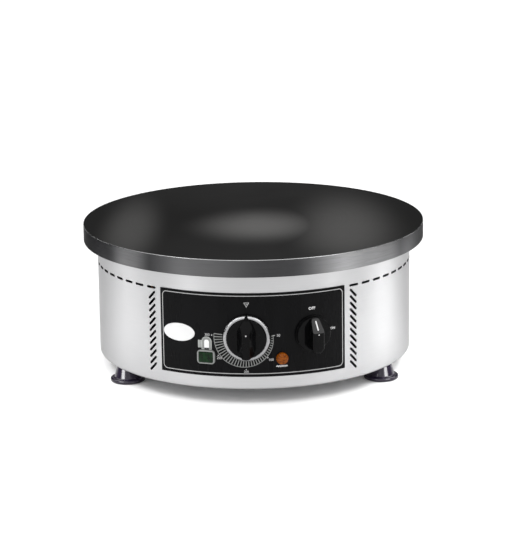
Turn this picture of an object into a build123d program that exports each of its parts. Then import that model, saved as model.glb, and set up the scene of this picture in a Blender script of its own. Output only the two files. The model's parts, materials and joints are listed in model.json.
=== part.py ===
from build123d import *
import math
import os

# Electric crepe maker: a round cast-iron griddle plate on a stainless steel drum with a curved control
# panel. All sizes are in millimetres. The origin is the centre of the surface the feet stand on, +Z is
# up, and the control panel faces -Y. Angles are counted from the front, positive towards +X.

# ---------------------------------------------------------------- griddle plate
plate_diameter = 400.0
plate_thickness = 14.0          # over the heater
plate_rim_depth = 20.0          # height of the visible edge
plate_rim_width = 28.0          # of the deeper outer ring that sits on the housing
plate_edge_chamfer = 0.8

# ---------------------------------------------------------------- housing
plate_overhang = 16.0           # of the plate beyond the housing wall, all round
housing_height = 134.0
sheet = 1.2                     # stainless steel of the housing
bend_radius = 3.0               # outside radius of the folds at top and bottom
top_flange_width = 16.0         # from the outer face inward
bottom_flange_width = 27.0

# ---------------------------------------------------------------- feet
foot_height = 17.2              # housing bottom above the table
foot_places = {"foot_back": 180.0, "foot_left": -60.0, "foot_right": 60.0}
foot_inset = 14.0               # foot axis in from the housing's outer face
foot_flange_diameter = 40.0
foot_flange_thickness = 4.6
foot_stem_bottom_diameter = 31.0
foot_stem_top_diameter = 24.0
foot_edge_radius = 1.8
foot_counterbore_diameter = 15.0
foot_counterbore_depth = 8.0

# ---------------------------------------------------------------- control panel (arc lengths on the housing)
panel_width = 219.0
panel_bottom = 15.2             # above the housing bottom
panel_below_top = 21.8          # panel's upper edge below the housing top
panel_thickness = 0.9
glue_gap = 0.05

thermostat_arc = -6.6
thermostat_height = 61.4        # above the housing bottom, as are the next ones
selector_arc = 68.5
selector_height = 62.0
green_lamp_arc = -52.7
green_lamp_height = 37.4
amber_lamp_arc = 32.5
amber_lamp_height = 36.2
badge_arc = -85.6
badge_height = 63.3
badge_width = 39.0
badge_depth = 20.6
badge_thickness = 0.6

# ---------------------------------------------------------------- vent slots
dash_length = 12.8
dash_width = 2.8
dash_count = 50
dash_below_top = 23.8           # row's centre line below the housing top
dash_from_panel = 13.5          # first dash centre beyond the panel's edge
slash_length = 13.2
slash_width = 2.9
slash_count = 12                # on each side of the panel
slash_low = 17.3                # centre of the lowest above the housing bottom
slash_below_top = 32.7          # centre of the highest below the housing top
slash_from_panel = 12.7
slash_tilt = 46.0
wall_cut = 6.0                  # reach of a cutter to each side of the housing wall
past = 1.0                      # reach of any other cutter beyond the faces it cuts

# ---------------------------------------------------------------- knobs and shafts
shaft_diameter = 6.0
shaft_flat = 1.5                # depth of the D flat
shaft_in_knob = 11.0
shaft_end_gap = 0.5             # between a shaft's end and the bottom of its bore
shaft_wall_clearance = 3.0      # radial, in the wall and the panel
shaft_seat_clearance = 2.0      # radial, in a bracket's seat
running_clearance = 0.05        # radial, between a shaft and the bore that guides it
knob_gap = 0.7                  # between a knob's base and the panel

thermostat_knob_diameter = 44.6
thermostat_ring_diameter = 53.0
thermostat_base_height = 1.6    # black flange that carries the ring
thermostat_base_inset = 1.5     # flange's edge in from the ring's
thermostat_disc_height = 5.0
thermostat_grip_width = 21.0    # at the disc
thermostat_grip_top_width = 8.0
thermostat_grip_height = 18.0
thermostat_grip_crest = 8.5     # where the grip starts to slope down to the pointer
ring_height = 3.8
ring_gap = 0.1
ring_skirt_low = 0.3            # skirt's lower edge above the knob's base
pointer_notch_width = 7.4
pointer_tip_width = 1.2
pointer_root = 1.0              # pointer's wide end inside the disc's edge

selector_knob_diameter = 40.0
selector_base_diameter = 42.4
selector_base_height = 1.2
selector_disc_height = 4.5
selector_grip_width = 14.2      # at the disc
selector_grip_top_width = 9.8
selector_grip_shoulder = 2.2    # height of the sloping shoulder below the top
selector_grip_height = 18.5
selector_grip_crest = 4.5
selector_tip_width = 8.6
knob_edge = 1.0

# ---------------------------------------------------------------- pilot lamps
lens_gap = 0.1
amber_lens_diameter = 13.8
amber_lens_height = 6.0
amber_lens_rounding = 3.6
amber_stem_diameter = 10.0
amber_body_length = 24.0
lamp_nut_across = 14.0
lamp_nut_thickness = 3.0
lamp_nut_gap = 0.3              # behind the curved wall
green_bezel_width = 20.8
green_bezel_height = 15.8
green_bezel_depth = 2.6
green_bezel_corner = 3.8
green_lens_width = 16.2
green_lens_height = 11.8
green_lens_depth = 3.4
green_lens_edge = 0.6
green_body_width = 17.0
green_body_height = 12.0
green_body_length = 26.0
green_hole_clearance = 0.5      # on each side of the body
wedge_width = 2.4
wedge_depth = 4.0
wedge_from_edge = 2.0           # in from the body's upper and lower sides
wedge_gap = 0.6                 # behind the curved wall
hole_clearance = 0.4            # radial, round fixings and lamps

# ---------------------------------------------------------------- controls behind the wall
bracket_thickness = 2.0
bracket_standoff = 10.0         # from the wall's inside to the bracket's face
bracket_height = 36.0
bracket_tab_width = 8.0
bracket_tab_height = 26.0
thermostat_bracket_width = 58.0
switch_bracket_width = 44.0
thermostat_body_width = 44.0
thermostat_body_height = 34.0
thermostat_body_depth = 32.0
switch_body_width = 34.0
switch_body_height = 34.0
switch_body_depth = 38.0
shaft_socket_depth = 9.0
control_screw_spacing = 28.0
control_screw_diameter = 4.0
control_screw_depth = 5.0       # of its hole in the case
control_screw_head_diameter = 7.2
control_screw_head_height = 2.6
case_edge = 2.0
blade_width = 6.3
blade_thickness = 0.8
blade_length = 8.0
blade_spacing = 12.0

# ---------------------------------------------------------------- heating stack
touch_gap = 0.1                 # between pieces that press on each other
element_diameter = 8.0
element_turn_pitch = 40.0
element_from_rim = 22.0         # outer turn's centre line in from the plate's recess wall
element_start_angle = 155.0
element_outer_sweep = 330.0
element_middle_sweep = 310.0
element_inner_sweep = 250.0
element_bend_radius = 14.0
clamp_thickness = 2.0
clamp_arm_width = 24.0
clamp_overreach = 10.0          # of each arm beyond the outer turn's centre line
clamp_hub_diameter = 54.0
insulation_thickness = 20.0
insulation_clearance = 1.5      # round the clamp's nuts
insulation_side_gap = 1.0
tray_sheet = 1.0
tray_rim_width = 15.0
tray_inset = 4.0                # tray's rim in from the housing's outer face
stud_diameter = 8.0
stud_boss_diameter = 18.0
stud_depth_in_plate = 8.0
stud_spare_length = 3.0
stud_end_chamfer = 0.6
nut_across_m8 = 13.0
nut_thickness_m8 = 6.5
washer_diameter_m8 = 16.0
washer_thickness_m8 = 1.6
cold_end_length = 12.0          # of the sheath below the tray
insulator_length = 8.0
insulator_inset = 0.5           # insulator's surface in from the sheath's
pin_diameter = 4.0
pin_length = 12.0
cold_end_hole_clearance = 2.0

# ---------------------------------------------------------------- temperature probe
bulb_diameter = 6.0
bulb_length = 60.0
bulb_angle = -85.0
capillary_diameter = 2.0
clip_sheet = 1.0
clip_width = 10.0
clip_ear_length = 10.0
clip_boss_diameter = 8.0
clip_boss_height = 3.0
clip_screw_diameter = 3.0
clip_screw_depth = 6.0
clip_screw_head_diameter = 5.4
clip_screw_head_height = 2.0

# ---------------------------------------------------------------- base, mains inlet and terminals
base_thickness = 1.5
base_side_gap = 0.5             # inside the fold's curve
base_vent_count = 18
base_vent_length = 34.0
base_vent_width = 5.0
base_vent_radius = 70.0
base_screw_diameter = 4.0
base_screw_head_diameter = 8.0
base_screw_head_height = 2.6
base_screw_count = 3
nut_across_m4 = 7.0
nut_thickness_m4 = 3.2
screw_spare_length = 2.0        # of a screw past its nut
foot_screw_diameter = 6.0
foot_screw_head_diameter = 12.0
foot_screw_head_height = 4.0
foot_washer_diameter = 14.6
foot_washer_thickness = 1.4
nut_across_m6 = 10.0
nut_thickness_m6 = 5.0
gland_height = 27.0             # above the housing bottom
gland_thread_diameter = 20.0
gland_bore_diameter = 13.0
gland_collar_across = 24.0
gland_collar_thickness = 6.0
gland_cap_length = 11.0
gland_cap_hole_diameter = 11.0
gland_cap_rounding = 3.0
gland_cap_end = 4.0             # from the nose's end to the cap's outer face
gland_nose_step = 1.0           # nose's radius below the thread's
gland_inner_length = 9.0
gland_nut_across = 26.0
gland_nut_thickness = 4.0
gland_nut_gap = 0.6             # behind the curved wall
seal_bore_diameter = 8.5
seal_length = 12.0
terminal_block_width = 57.0
terminal_block_depth = 24.0
terminal_block_height = 18.0
terminal_block_from_wall = 62.0
terminal_poles = 4
terminal_pole_spacing = 13.0
terminal_channel_diameter = 4.4
terminal_screw_diameter = 5.0
terminal_screw_spacing = 12.0
terminal_screw_recess = 2.0     # screw's top below the block's
terminal_screw_above_channel = 0.4
terminal_well_clearance = 0.3
driver_slot_width = 0.9
driver_slot_depth = 1.2
earth_stud_diameter = 5.0
earth_stud_height = 16.0
earth_nut_across = 8.0
earth_nut_thickness = 4.0
earth_lug_diameter = 10.0
earth_lug_thickness = 1.6
earth_stud_x = 56.0
earth_stud_from_wall = 60.0

# ---------------------------------------------------------------- wires and pins
wire_diameter = 3.0
lamp_wire_diameter = 2.0
lamp_pin_diameter = 1.6
lamp_pin_length = 5.0
amber_pin_spacing = 5.0
green_pin_spacing = 8.0
straight_exit = 20.0            # run of a wire straight out of a control's terminal
bulb_tail = 16.0                # capillary from the bulb's end to where it turns down
capillary_below_tray = 4.0      # where it turns forward
capillary_entry_height = 8.0    # above the thermostat's middle
link_exit = 12.0                # run of the lamps' link straight down from a pin

# ---------------------------------------------------------------- heights and radii that follow
plate_radius = plate_diameter / 2
recess_radius = plate_radius - plate_rim_width
wall_radius = plate_radius - plate_overhang
wall_inside = wall_radius - sheet
panel_inside = wall_radius + glue_gap
panel_outside = panel_inside + panel_thickness

housing_bottom = foot_height
housing_top = housing_bottom + housing_height
panel_low = housing_bottom + panel_bottom
panel_high = housing_top - panel_below_top
plate_top = housing_top + plate_rim_depth
plate_underside = plate_top - plate_thickness
base_bottom = housing_bottom + sheet
base_top = base_bottom + base_thickness

element_height = plate_underside - touch_gap - element_diameter / 2
clamp_top = element_height - element_diameter / 2 - touch_gap
clamp_bottom = clamp_top - clamp_thickness
insulation_top = clamp_bottom - touch_gap
insulation_bottom = insulation_top - insulation_thickness
tray_floor_top = insulation_bottom - touch_gap
tray_floor_bottom = tray_floor_top - tray_sheet
tray_rim_top = housing_top - sheet
tray_wall_radius = wall_radius - tray_inset - tray_rim_width
sheath_bottom = tray_floor_bottom - cold_end_length

outer_turn = recess_radius - element_from_rim
middle_turn = outer_turn - element_turn_pitch
inner_turn = middle_turn - element_turn_pitch
stud_circle = (middle_turn + inner_turn) / 2
bulb_circle = (outer_turn + middle_turn) / 2
stud_angles = [element_start_angle + turn for turn in (60.0, 180.0, 300.0)]
foot_circle = wall_radius - foot_inset
foot_angles = list(foot_places.values())
gland_axis_height = housing_bottom + gland_height
terminal_y = wall_radius - terminal_block_from_wall
earth_y = wall_radius - earth_stud_from_wall


# ---------------------------------------------------------------- helpers
def angle_of(arc):
    """Angle from the front of a place given by its arc length on the housing wall."""
    return math.degrees(arc / wall_radius)


def spot(angle, radius, height=0.0):
    """Point at an angle from the front, a distance from the centre line and a height."""
    turn = math.radians(angle)
    return Vector(radius * math.sin(turn), -radius * math.cos(turn), height)


def outward(angle, radius, height):
    """Place with its z axis pointing out of the housing, x to the right seen from outside, y up."""
    turn = math.radians(angle)
    place = Plane(
        origin=spot(angle, radius, height),
        x_dir=(math.cos(turn), math.sin(turn), 0),
        z_dir=(math.sin(turn), -math.cos(turn), 0),
    )
    return place.location


def column(radius, low, high):
    """Solid cylinder about the z axis between two heights."""
    shape = Cylinder(radius, high - low, align=(Align.CENTER, Align.CENTER, Align.MIN))
    return Pos(0, 0, low) * shape


def tube(outer, inner, low, high):
    """Cylinder about the z axis with a through bore."""
    return column(outer, low, high) - column(inner, low - past, high + past)


def slab(width, height, low, high):
    """Box centred on the z axis between two heights."""
    shape = Box(width, height, high - low, align=(Align.CENTER, Align.CENTER, Align.MIN))
    return Pos(0, 0, low) * shape


def hexagon(across, low, high):
    """Hexagonal prism about the z axis."""
    outline = RegularPolygon(across / math.sqrt(3), 6)
    return Pos(0, 0, low) * extrude(outline, high - low)


def hex_nut(across, hole_diameter, low, high):
    """Plain hexagonal nut about the z axis."""
    hole = column(hole_diameter / 2 + running_clearance, low - past, high + past)
    return hexagon(across, low, high) - hole


def pan_screw(diameter, length, head_diameter, head_height):
    """Screw whose head sits below z = 0 and whose shank points up."""
    head = column(head_diameter / 2, -head_height, 0)
    head = chamfer(head.edges().group_by(Axis.Z)[0], head_height / 4)
    slot = slab(head_diameter, head_height / 4, -head_height - past, -head_height * 0.6)
    return head + column(diameter / 2, -head_height / 2, length) - slot


def around(angles, radius, make):
    """The same piece, made upright on the z axis, at several angles on a circle."""
    return [Pos(spot(angle, radius)) * make for angle in angles]


def save(name, solids):
    """Write one node, which is one solid or a group of separate ones."""
    solids = solids if isinstance(solids, list) else [solids]
    pieces = [piece for shape in solids for piece in shape.solids()]
    export_step(Compound(children=pieces) if len(pieces) > 1 else pieces[0], f"parts/{name}.step")


def round_wire(diameter, route):
    """Round tube of straight runs joined by arcs as large as the runs allow."""
    radii = []
    for before, corner, after in zip(route, route[1:], route[2:]):
        first = corner - before
        second = after - corner
        half_turn = math.radians(first.get_angle(second)) / 2
        radii.append(0.45 * min(first.length, second.length) / math.tan(half_turn))
    print("arc radii of a wire:", [round(radius, 1) for radius in radii])
    path = FilletPolyline(*route, radius=radii)
    section = Plane(origin=path @ 0, z_dir=path % 0) * Circle(diameter / 2)
    return sweep(section, path=path)


# ---------------------------------------------------------------- griddle plate and heating stack
def make_plate():
    plate = column(plate_radius, housing_top, plate_top)
    outer_edges = plate.edges().filter_by(GeomType.CIRCLE)
    plate = chamfer(outer_edges, plate_edge_chamfer)
    plate -= column(recess_radius, housing_top - past, plate_underside)
    stud_boss = column(stud_boss_diameter / 2, clamp_top, plate_underside + past)
    stud_hole_radius = stud_diameter / 2 + running_clearance
    stud_hole = column(stud_hole_radius, clamp_top - past, plate_underside + stud_depth_in_plate)
    clip_boss_low = plate_underside - clip_boss_height
    clip_boss = column(clip_boss_diameter / 2, clip_boss_low, plate_underside + past)
    clip_hole_radius = clip_screw_diameter / 2 + running_clearance
    clip_hole = column(clip_hole_radius, clip_boss_low - past, clip_boss_low + clip_screw_depth)
    for boss in around(stud_angles, stud_circle, stud_boss) + clip_places(clip_boss):
        plate += boss
    for hole in around(stud_angles, stud_circle, stud_hole) + clip_places(clip_hole):
        plate -= hole
    return plate


def clip_ear_offset():
    """Distance of each clip ear's centre from the bulb's centre line."""
    return bulb_diameter / 2 + clip_sheet + clip_ear_length / 2


def clip_places(make):
    """The same upright piece at both ears of the bulb clip."""
    offset = clip_ear_offset()
    return [Pos(spot(bulb_angle, bulb_circle + side * offset)) * make for side in (-1, 1)]


def turn_ends():
    """Angles at which the outer turn begins and ends, the middle one ends and the inner one ends."""
    outer_end = element_start_angle + element_outer_sweep
    middle_end = outer_end - element_middle_sweep
    return element_start_angle, outer_end, middle_end, middle_end + element_inner_sweep


def element_dives():
    """Where each end of the heater starts to bend down, and the way it runs there."""
    start, _, _, inner_end = turn_ends()
    return [
        (spot(start, outer_turn, element_height), spot(start + 90, -1)),
        (spot(inner_end, inner_turn, element_height), spot(inner_end + 90, 1)),
    ]


def element_path():
    """Centre line of the tubular heater: three turns in one plane and two ends bent down."""
    start, outer_end, middle_end, inner_end = turn_ends()
    reach = element_turn_pitch / 2

    def turn(radius, first, last):
        points = [spot(angle, radius, element_height) for angle in (first, (first + last) / 2, last)]
        return ThreePointArc(*points)

    def crossover(angle, larger, smaller, forward):
        """Half circle from one turn to the next, bulging the way the heater was running."""
        bulge = spot(angle, (larger + smaller) / 2, element_height)
        bulge += spot(angle + 90, reach) * forward
        ends = [spot(angle, radius, element_height) for radius in (larger, smaller)]
        return ThreePointArc(ends[0], bulge, ends[1])

    def dive(begin, along):
        """Quarter circle that bends an end down, and the straight end below it."""
        half = math.sqrt(0.5) * element_bend_radius
        middle = begin + along * half - Vector(0, 0, element_bend_radius - half)
        finish = begin + along * element_bend_radius - Vector(0, 0, element_bend_radius)
        foot = Vector(finish.X, finish.Y, sheath_bottom)
        return [ThreePointArc(begin, middle, finish), Line(finish, foot)]

    outer_dive, inner_dive = element_dives()
    edges = dive(*outer_dive)
    edges += [turn(outer_turn, start, outer_end)]
    edges += [crossover(outer_end, outer_turn, middle_turn, 1)]
    edges += [turn(middle_turn, outer_end, middle_end)]
    edges += [crossover(middle_end, middle_turn, inner_turn, -1)]
    edges += [turn(inner_turn, middle_end, inner_end)]
    edges += dive(*inner_dive)
    return Wire(edges)


def element_ends():
    """Bottom points of the heater's two ends."""
    ends = [begin + along * element_bend_radius for begin, along in element_dives()]
    return [Vector(end.X, end.Y, sheath_bottom) for end in ends]


def make_element():
    path = element_path()
    section = Plane(origin=path @ 0, z_dir=path % 0) * Circle(element_diameter / 2)
    return sweep(section, path=path)


def make_clamp():
    """Three-armed steel spider that presses the heater against the plate."""
    clamp = column(clamp_hub_diameter / 2, clamp_bottom, clamp_top)
    length = outer_turn + clamp_overreach
    for angle in stud_angles:
        arm = slab(clamp_arm_width, length, clamp_bottom, clamp_top)
        clamp += Rot(0, 0, angle) * Pos(0, -length / 2, 0) * arm
    hole = column(stud_diameter / 2 + hole_clearance, clamp_bottom - past, clamp_top + past)
    for cutter in around(stud_angles, stud_circle, hole):
        clamp -= cutter
    return clamp


def cold_end_holes(low, high):
    """Clearance holes for the heater's two ends and for the capillary."""
    radius = element_diameter / 2 + cold_end_hole_clearance
    ends = element_ends() + [capillary_drop()]
    return [Pos(end.X, end.Y, 0) * column(radius, low - past, high + past) for end in ends]


def dive_slots(low, high):
    """Slots for the heater's bends, from where each starts to where it hangs straight."""
    width = element_diameter + 2 * cold_end_hole_clearance
    slots = []
    for begin, along in element_dives():
        box = slab(element_bend_radius, width, low - past, high + past)
        middle = begin + along * (element_bend_radius / 2)
        heading = math.degrees(math.atan2(along.Y, along.X))
        slots.append(Pos(middle.X, middle.Y, 0) * Rot(0, 0, heading) * box)
    return slots


def make_insulation():
    disc_radius = tray_wall_radius - tray_sheet - insulation_side_gap
    disc = column(disc_radius, insulation_bottom, insulation_top)
    room_radius = nut_across_m8 / math.sqrt(3) + insulation_clearance
    nut_room = column(room_radius, insulation_bottom - past, insulation_top + past)
    for cutter in around(stud_angles, stud_circle, nut_room):
        disc -= cutter
    for cutter in cold_end_holes(insulation_bottom, insulation_top):
        disc -= cutter
    for cutter in dive_slots(insulation_bottom, insulation_top):
        disc -= cutter
    return disc


def make_tray():
    """Reflector dish: its rim lies under the housing's top flange and the studs pull it up."""
    rim_outer = wall_radius - tray_inset
    tray = tube(rim_outer, tray_wall_radius - tray_sheet, tray_rim_top - tray_sheet, tray_rim_top)
    tray += tube(tray_wall_radius, tray_wall_radius - tray_sheet, tray_floor_bottom, tray_rim_top)
    tray += column(tray_wall_radius, tray_floor_bottom, tray_floor_top)
    hole = column(stud_diameter / 2 + hole_clearance, tray_floor_bottom - past, tray_floor_top + past)
    for cutter in around(stud_angles, stud_circle, hole):
        tray -= cutter
    for cutter in cold_end_holes(tray_floor_bottom, tray_floor_top):
        tray -= cutter
    return tray


def make_stack_fixings():
    """Studs into the plate, the nuts that clamp the heater and those that pull the tray up."""
    washer_low = tray_floor_bottom - washer_thickness_m8
    nut_low = washer_low - nut_thickness_m8
    stud_top = plate_underside + stud_depth_in_plate - touch_gap
    stud = column(stud_diameter / 2, nut_low - stud_spare_length, stud_top)
    stud = chamfer(stud.edges().filter_by(GeomType.CIRCLE), stud_end_chamfer)
    clamp_nut = hex_nut(nut_across_m8, stud_diameter, clamp_bottom - nut_thickness_m8, clamp_bottom)
    tray_nut = hex_nut(nut_across_m8, stud_diameter, nut_low, washer_low)
    washer_hole = stud_diameter / 2 + hole_clearance
    washer = tube(washer_diameter_m8 / 2, washer_hole, washer_low, tray_floor_bottom)
    save("plate_studs", around(stud_angles, stud_circle, stud))
    save("heater_clamp_nuts", around(stud_angles, stud_circle, clamp_nut))
    save("tray_nuts", around(stud_angles, stud_circle, tray_nut))
    save("tray_washers", around(stud_angles, stud_circle, washer))


def make_element_terminals():
    """Ceramic insulators and threaded pins at the heater's ends."""
    low = sheath_bottom - insulator_length
    outer = element_diameter / 2 - insulator_inset
    insulator = tube(outer, pin_diameter / 2 + running_clearance, low, sheath_bottom)
    pin = column(pin_diameter / 2, low - pin_length, sheath_bottom)
    places = [Pos(end.X, end.Y, 0) for end in element_ends()]
    save("heater_end_insulators", [place * insulator for place in places])
    save("heater_terminal_pins", [place * pin for place in places])


# ---------------------------------------------------------------- temperature probe
def bulb_height():
    return plate_underside - touch_gap - bulb_diameter / 2


def bulb_place():
    """Place at the bulb's middle: z along the bulb towards the front, x outward, y down."""
    along = spot(bulb_angle + 90, 1)
    middle = spot(bulb_angle, bulb_circle, bulb_height())
    return Plane(origin=middle, x_dir=spot(bulb_angle, 1), z_dir=along).location


def make_bulb():
    bulb = column(bulb_diameter / 2, -bulb_length / 2, bulb_length / 2)
    return bulb_place() * fillet(bulb.edges().filter_by(GeomType.CIRCLE), bulb_diameter / 6)


def make_bulb_clip():
    """Sheet strap under the bulb with an ear on each side, screwed to bosses of the plate."""
    inner = bulb_diameter / 2 + touch_gap
    strap = tube(inner + clip_sheet, inner, -clip_width / 2, clip_width / 2)
    ear_height = plate_underside - clip_boss_height - touch_gap
    ears_below_axis = bulb_height() - ear_height
    lower_half = Pos(0, ears_below_axis + 2 * inner, 0) * Box(4 * inner, 4 * inner, clip_width)
    clip = bulb_place() * (strap & lower_half)
    ear = slab(clip_ear_length + clip_sheet, clip_width, ear_height - clip_sheet, ear_height)
    for side in (-1, 1):
        middle = bulb_circle + side * (clip_ear_offset() - clip_sheet / 2 + touch_gap)
        clip += Pos(spot(bulb_angle, middle)) * Rot(0, 0, bulb_angle - 90) * ear
    hole_low = ear_height - clip_sheet - past
    hole = column(clip_screw_diameter / 2 + hole_clearance, hole_low, ear_height + past)
    for cutter in clip_places(hole):
        clip -= cutter
    return clip


def make_bulb_clip_screws():
    seat = plate_underside - clip_boss_height - touch_gap - clip_sheet
    length = clip_screw_depth - touch_gap
    screw = pan_screw(clip_screw_diameter, length, clip_screw_head_diameter, clip_screw_head_height)
    return clip_places(Pos(0, 0, seat) * screw)


def capillary_drop():
    """Where the capillary goes down through the insulation and the tray."""
    middle = spot(bulb_angle, bulb_circle)
    return middle + spot(bulb_angle + 90, bulb_length / 2 + bulb_tail)


def make_capillary():
    """Copper tube from the bulb, down through the tray and forward to the thermostat's side."""
    bulb_end = (bulb_place() * Pos(0, 0, bulb_length / 2)).position
    drop = capillary_drop()
    case = control_place(thermostat_arc, thermostat_height)
    depth = -bracket_standoff - bracket_thickness - thermostat_body_depth / 2
    side = -thermostat_body_width / 2 - touch_gap
    entry = (case * Pos(side, capillary_entry_height, depth)).position
    below_tray = tray_floor_bottom - capillary_below_tray
    fall = below_tray - entry.Z
    route = [
        bulb_end,
        Vector(drop.X, drop.Y, bulb_end.Z),
        Vector(drop.X, drop.Y, below_tray),
        Vector(-117, -68, entry.Z + 0.5 * fall),
        Vector(-98, -86, entry.Z + 0.22 * fall),
        Vector(-82, -112, entry.Z + 0.1 * fall),
        Vector(-66, -138, entry.Z + 0.04 * fall),
        (case * Pos(side - straight_exit, capillary_entry_height, depth)).position,
        entry,
    ]
    return round_wire(capillary_diameter, route)


# ---------------------------------------------------------------- housing, panel and badge
def dash_angles():
    """Angles of the upper row of dashes, from one side of the panel round the back to the other."""
    first = angle_of(panel_width / 2 + dash_from_panel)
    step = (360 - 2 * first) / (dash_count - 1)
    return [first + step * number for number in range(dash_count)]


def lamp_and_shaft_cutters():
    """Cutters for the openings that the housing wall and the panel share."""
    shaft_hole = column(shaft_diameter / 2 + shaft_wall_clearance, -wall_cut, wall_cut)
    amber_hole = column(amber_stem_diameter / 2 + hole_clearance, -wall_cut, wall_cut)
    width = green_body_width + 2 * green_hole_clearance
    green_hole = slab(width, green_body_height + 2 * green_hole_clearance, -wall_cut, wall_cut)
    places = [
        (thermostat_arc, thermostat_height, shaft_hole),
        (selector_arc, selector_height, shaft_hole),
        (amber_lamp_arc, amber_lamp_height, amber_hole),
        (green_lamp_arc, green_lamp_height, green_hole),
    ]
    return [
        outward(angle_of(arc), wall_radius, housing_bottom + height) * cutter
        for arc, height, cutter in places
    ]


def foot_hole(low, high):
    return column(foot_screw_diameter / 2 + hole_clearance, low, high)


def base_screw_angles():
    half_step = 180.0 / base_screw_count
    return [180.0 + half_step * (2 * number + 1) for number in range(base_screw_count)]


def base_screw_hole(low, high):
    return column(base_screw_diameter / 2 + hole_clearance, low, high)


def make_housing():
    body = column(wall_radius, housing_bottom, housing_top)
    body = fillet(body.edges().filter_by(GeomType.CIRCLE), bend_radius)
    inside = column(wall_inside, housing_bottom + sheet, housing_top - sheet)
    inside = fillet(inside.edges().filter_by(GeomType.CIRCLE), bend_radius - sheet)
    body -= inside
    body -= column(wall_radius - top_flange_width, housing_top - sheet - past, housing_top + past)
    bottom_opening = wall_radius - bottom_flange_width
    body -= column(bottom_opening, housing_bottom - past, housing_bottom + sheet + past)
    dash = extrude(SlotOverall(dash_length, dash_width), wall_cut, both=True)
    slash = extrude(SlotOverall(slash_length, slash_width), wall_cut, both=True)
    row = housing_top - dash_below_top
    cutters = [outward(angle, wall_radius, row) * dash for angle in dash_angles()]
    side_angle = angle_of(panel_width / 2 + slash_from_panel)
    slash_pitch = (housing_height - slash_low - slash_below_top) / (slash_count - 1)
    for side in (-1, 1):
        tilted = Rot(0, 0, -side * slash_tilt) * slash
        for number in range(slash_count):
            height = housing_bottom + slash_low + slash_pitch * number
            cutters.append(outward(side * side_angle, wall_radius, height) * tilted)
    cutters += lamp_and_shaft_cutters()
    gland_hole = column(gland_thread_diameter / 2 + hole_clearance, -wall_cut, wall_cut)
    cutters.append(outward(180, wall_radius, gland_axis_height) * gland_hole)
    low = housing_bottom - past
    high = housing_bottom + sheet + past
    cutters += around(foot_angles, foot_circle, foot_hole(low, high))
    cutters += around(base_screw_angles(), foot_circle, base_screw_hole(low, high))
    return body - cutters


def wall_band(inner, outer, half_angle, low, high):
    """Curved sheet on the housing wall, centred on the front."""
    ring = tube(outer, inner, low, high)
    wedge_reach = outer * 2
    turn = math.radians(half_angle)
    corner = Vector(wedge_reach * math.sin(turn), -wedge_reach * math.cos(turn))
    outline = Polyline((0, 0), (corner.X, corner.Y), (-corner.X, corner.Y), close=True)
    wedge = Pos(0, 0, low - past) * extrude(make_face(outline), high - low + 2 * past)
    return ring & wedge


def make_panel():
    half_angle = angle_of(panel_width / 2)
    panel = wall_band(panel_inside, panel_outside, half_angle, panel_low, panel_high)
    return panel - lamp_and_shaft_cutters()


def make_badge():
    """Bare oval badge, curved with the panel."""
    place = outward(angle_of(badge_arc), wall_radius, housing_bottom + badge_height)
    oval = place * extrude(Ellipse(badge_width / 2, badge_depth / 2), wall_cut, both=True)
    low = panel_outside + glue_gap
    return tube(low + badge_thickness, low, housing_bottom, housing_top) & oval


# ---------------------------------------------------------------- knobs
def grip_outline(width, bottom_reach, crest, tip_reach, tip_width):
    """Bar with a round lower end that narrows from the crest to the pointer."""
    half = width / 2
    tip = tip_width / 2
    shoulder = half - bottom_reach
    sides = Polyline(
        (half, shoulder), (half, crest), (tip, tip_reach),
        (-tip, tip_reach), (-half, crest), (-half, shoulder),
    )
    foot = ThreePointArc((-half, shoulder), (0, -bottom_reach), (half, shoulder))
    return make_face(Wire([*sides.edges(), foot]))


def make_grip(width, top_width, shoulder, disc_radius, disc_height, height, crest, tip_width):
    """Raised bar of a knob: sloping shoulders, full height below the crest, falling to the pointer above."""
    outline = grip_outline(width, disc_radius - knob_edge, crest, disc_radius - knob_edge, tip_width)
    low = disc_height / 2
    grip = Pos(0, 0, low) * extrude(outline, height - low)
    base = width / 2
    top = top_width / 2
    flanks = Polyline(
        (-base, low), (base, low), (base, height - shoulder), (top, height), (-top, height),
        (-base, height - shoulder), close=True,
    )
    grip &= extrude(Plane.XZ * make_face(flanks), disc_radius, both=True)
    rim = disc_radius + past
    side = Polyline((crest, height), (rim, disc_height), (rim, height + past), (crest, height + past),
                    close=True)
    # The sketch plane has y as its first axis and z as its second.
    cut = Plane.YZ * make_face(side)
    return grip - extrude(cut, width, both=True)


def shaft_bore(depth):
    """D-shaped blind bore from z = 0 upward, with clearance round the shaft."""
    radius = shaft_diameter / 2 + running_clearance
    bore = column(radius, -past, depth)
    flat_at = shaft_diameter / 2 - shaft_flat + running_clearance
    return bore - Pos(0, flat_at + radius, 0) * slab(radius * 4, radius * 2, -2 * past, depth + past)


def pointer_notch(clearance):
    """V-shaped prism that crosses the ring at the pointer, wider outside."""
    reach = thermostat_ring_diameter / 2
    root = thermostat_knob_diameter / 2 - pointer_root
    half = pointer_notch_width / 2 + clearance
    tip = pointer_tip_width / 2 + clearance
    outline = Polyline((-half, root), (half, root), (tip, reach), (-tip, reach), close=True)
    return make_face(outline)


def make_thermostat_knob():
    disc_radius = thermostat_knob_diameter / 2
    flange_radius = thermostat_ring_diameter / 2 - thermostat_base_inset
    flange = column(flange_radius, 0, thermostat_base_height)
    disc_top = thermostat_base_height + thermostat_disc_height
    disc = column(disc_radius, 0, disc_top)
    disc = chamfer(disc.edges().group_by(Axis.Z)[-1], knob_edge)
    grip = make_grip(
        thermostat_grip_width, thermostat_grip_top_width, thermostat_grip_height - disc_top,
        disc_radius, disc_top, thermostat_grip_height, thermostat_grip_crest, pointer_notch_width,
    )
    tooth = Pos(0, 0, thermostat_base_height) * extrude(pointer_notch(0), ring_height, dir=(0, 0, 1))
    return flange + disc + grip + tooth - shaft_bore(shaft_in_knob)


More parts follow.
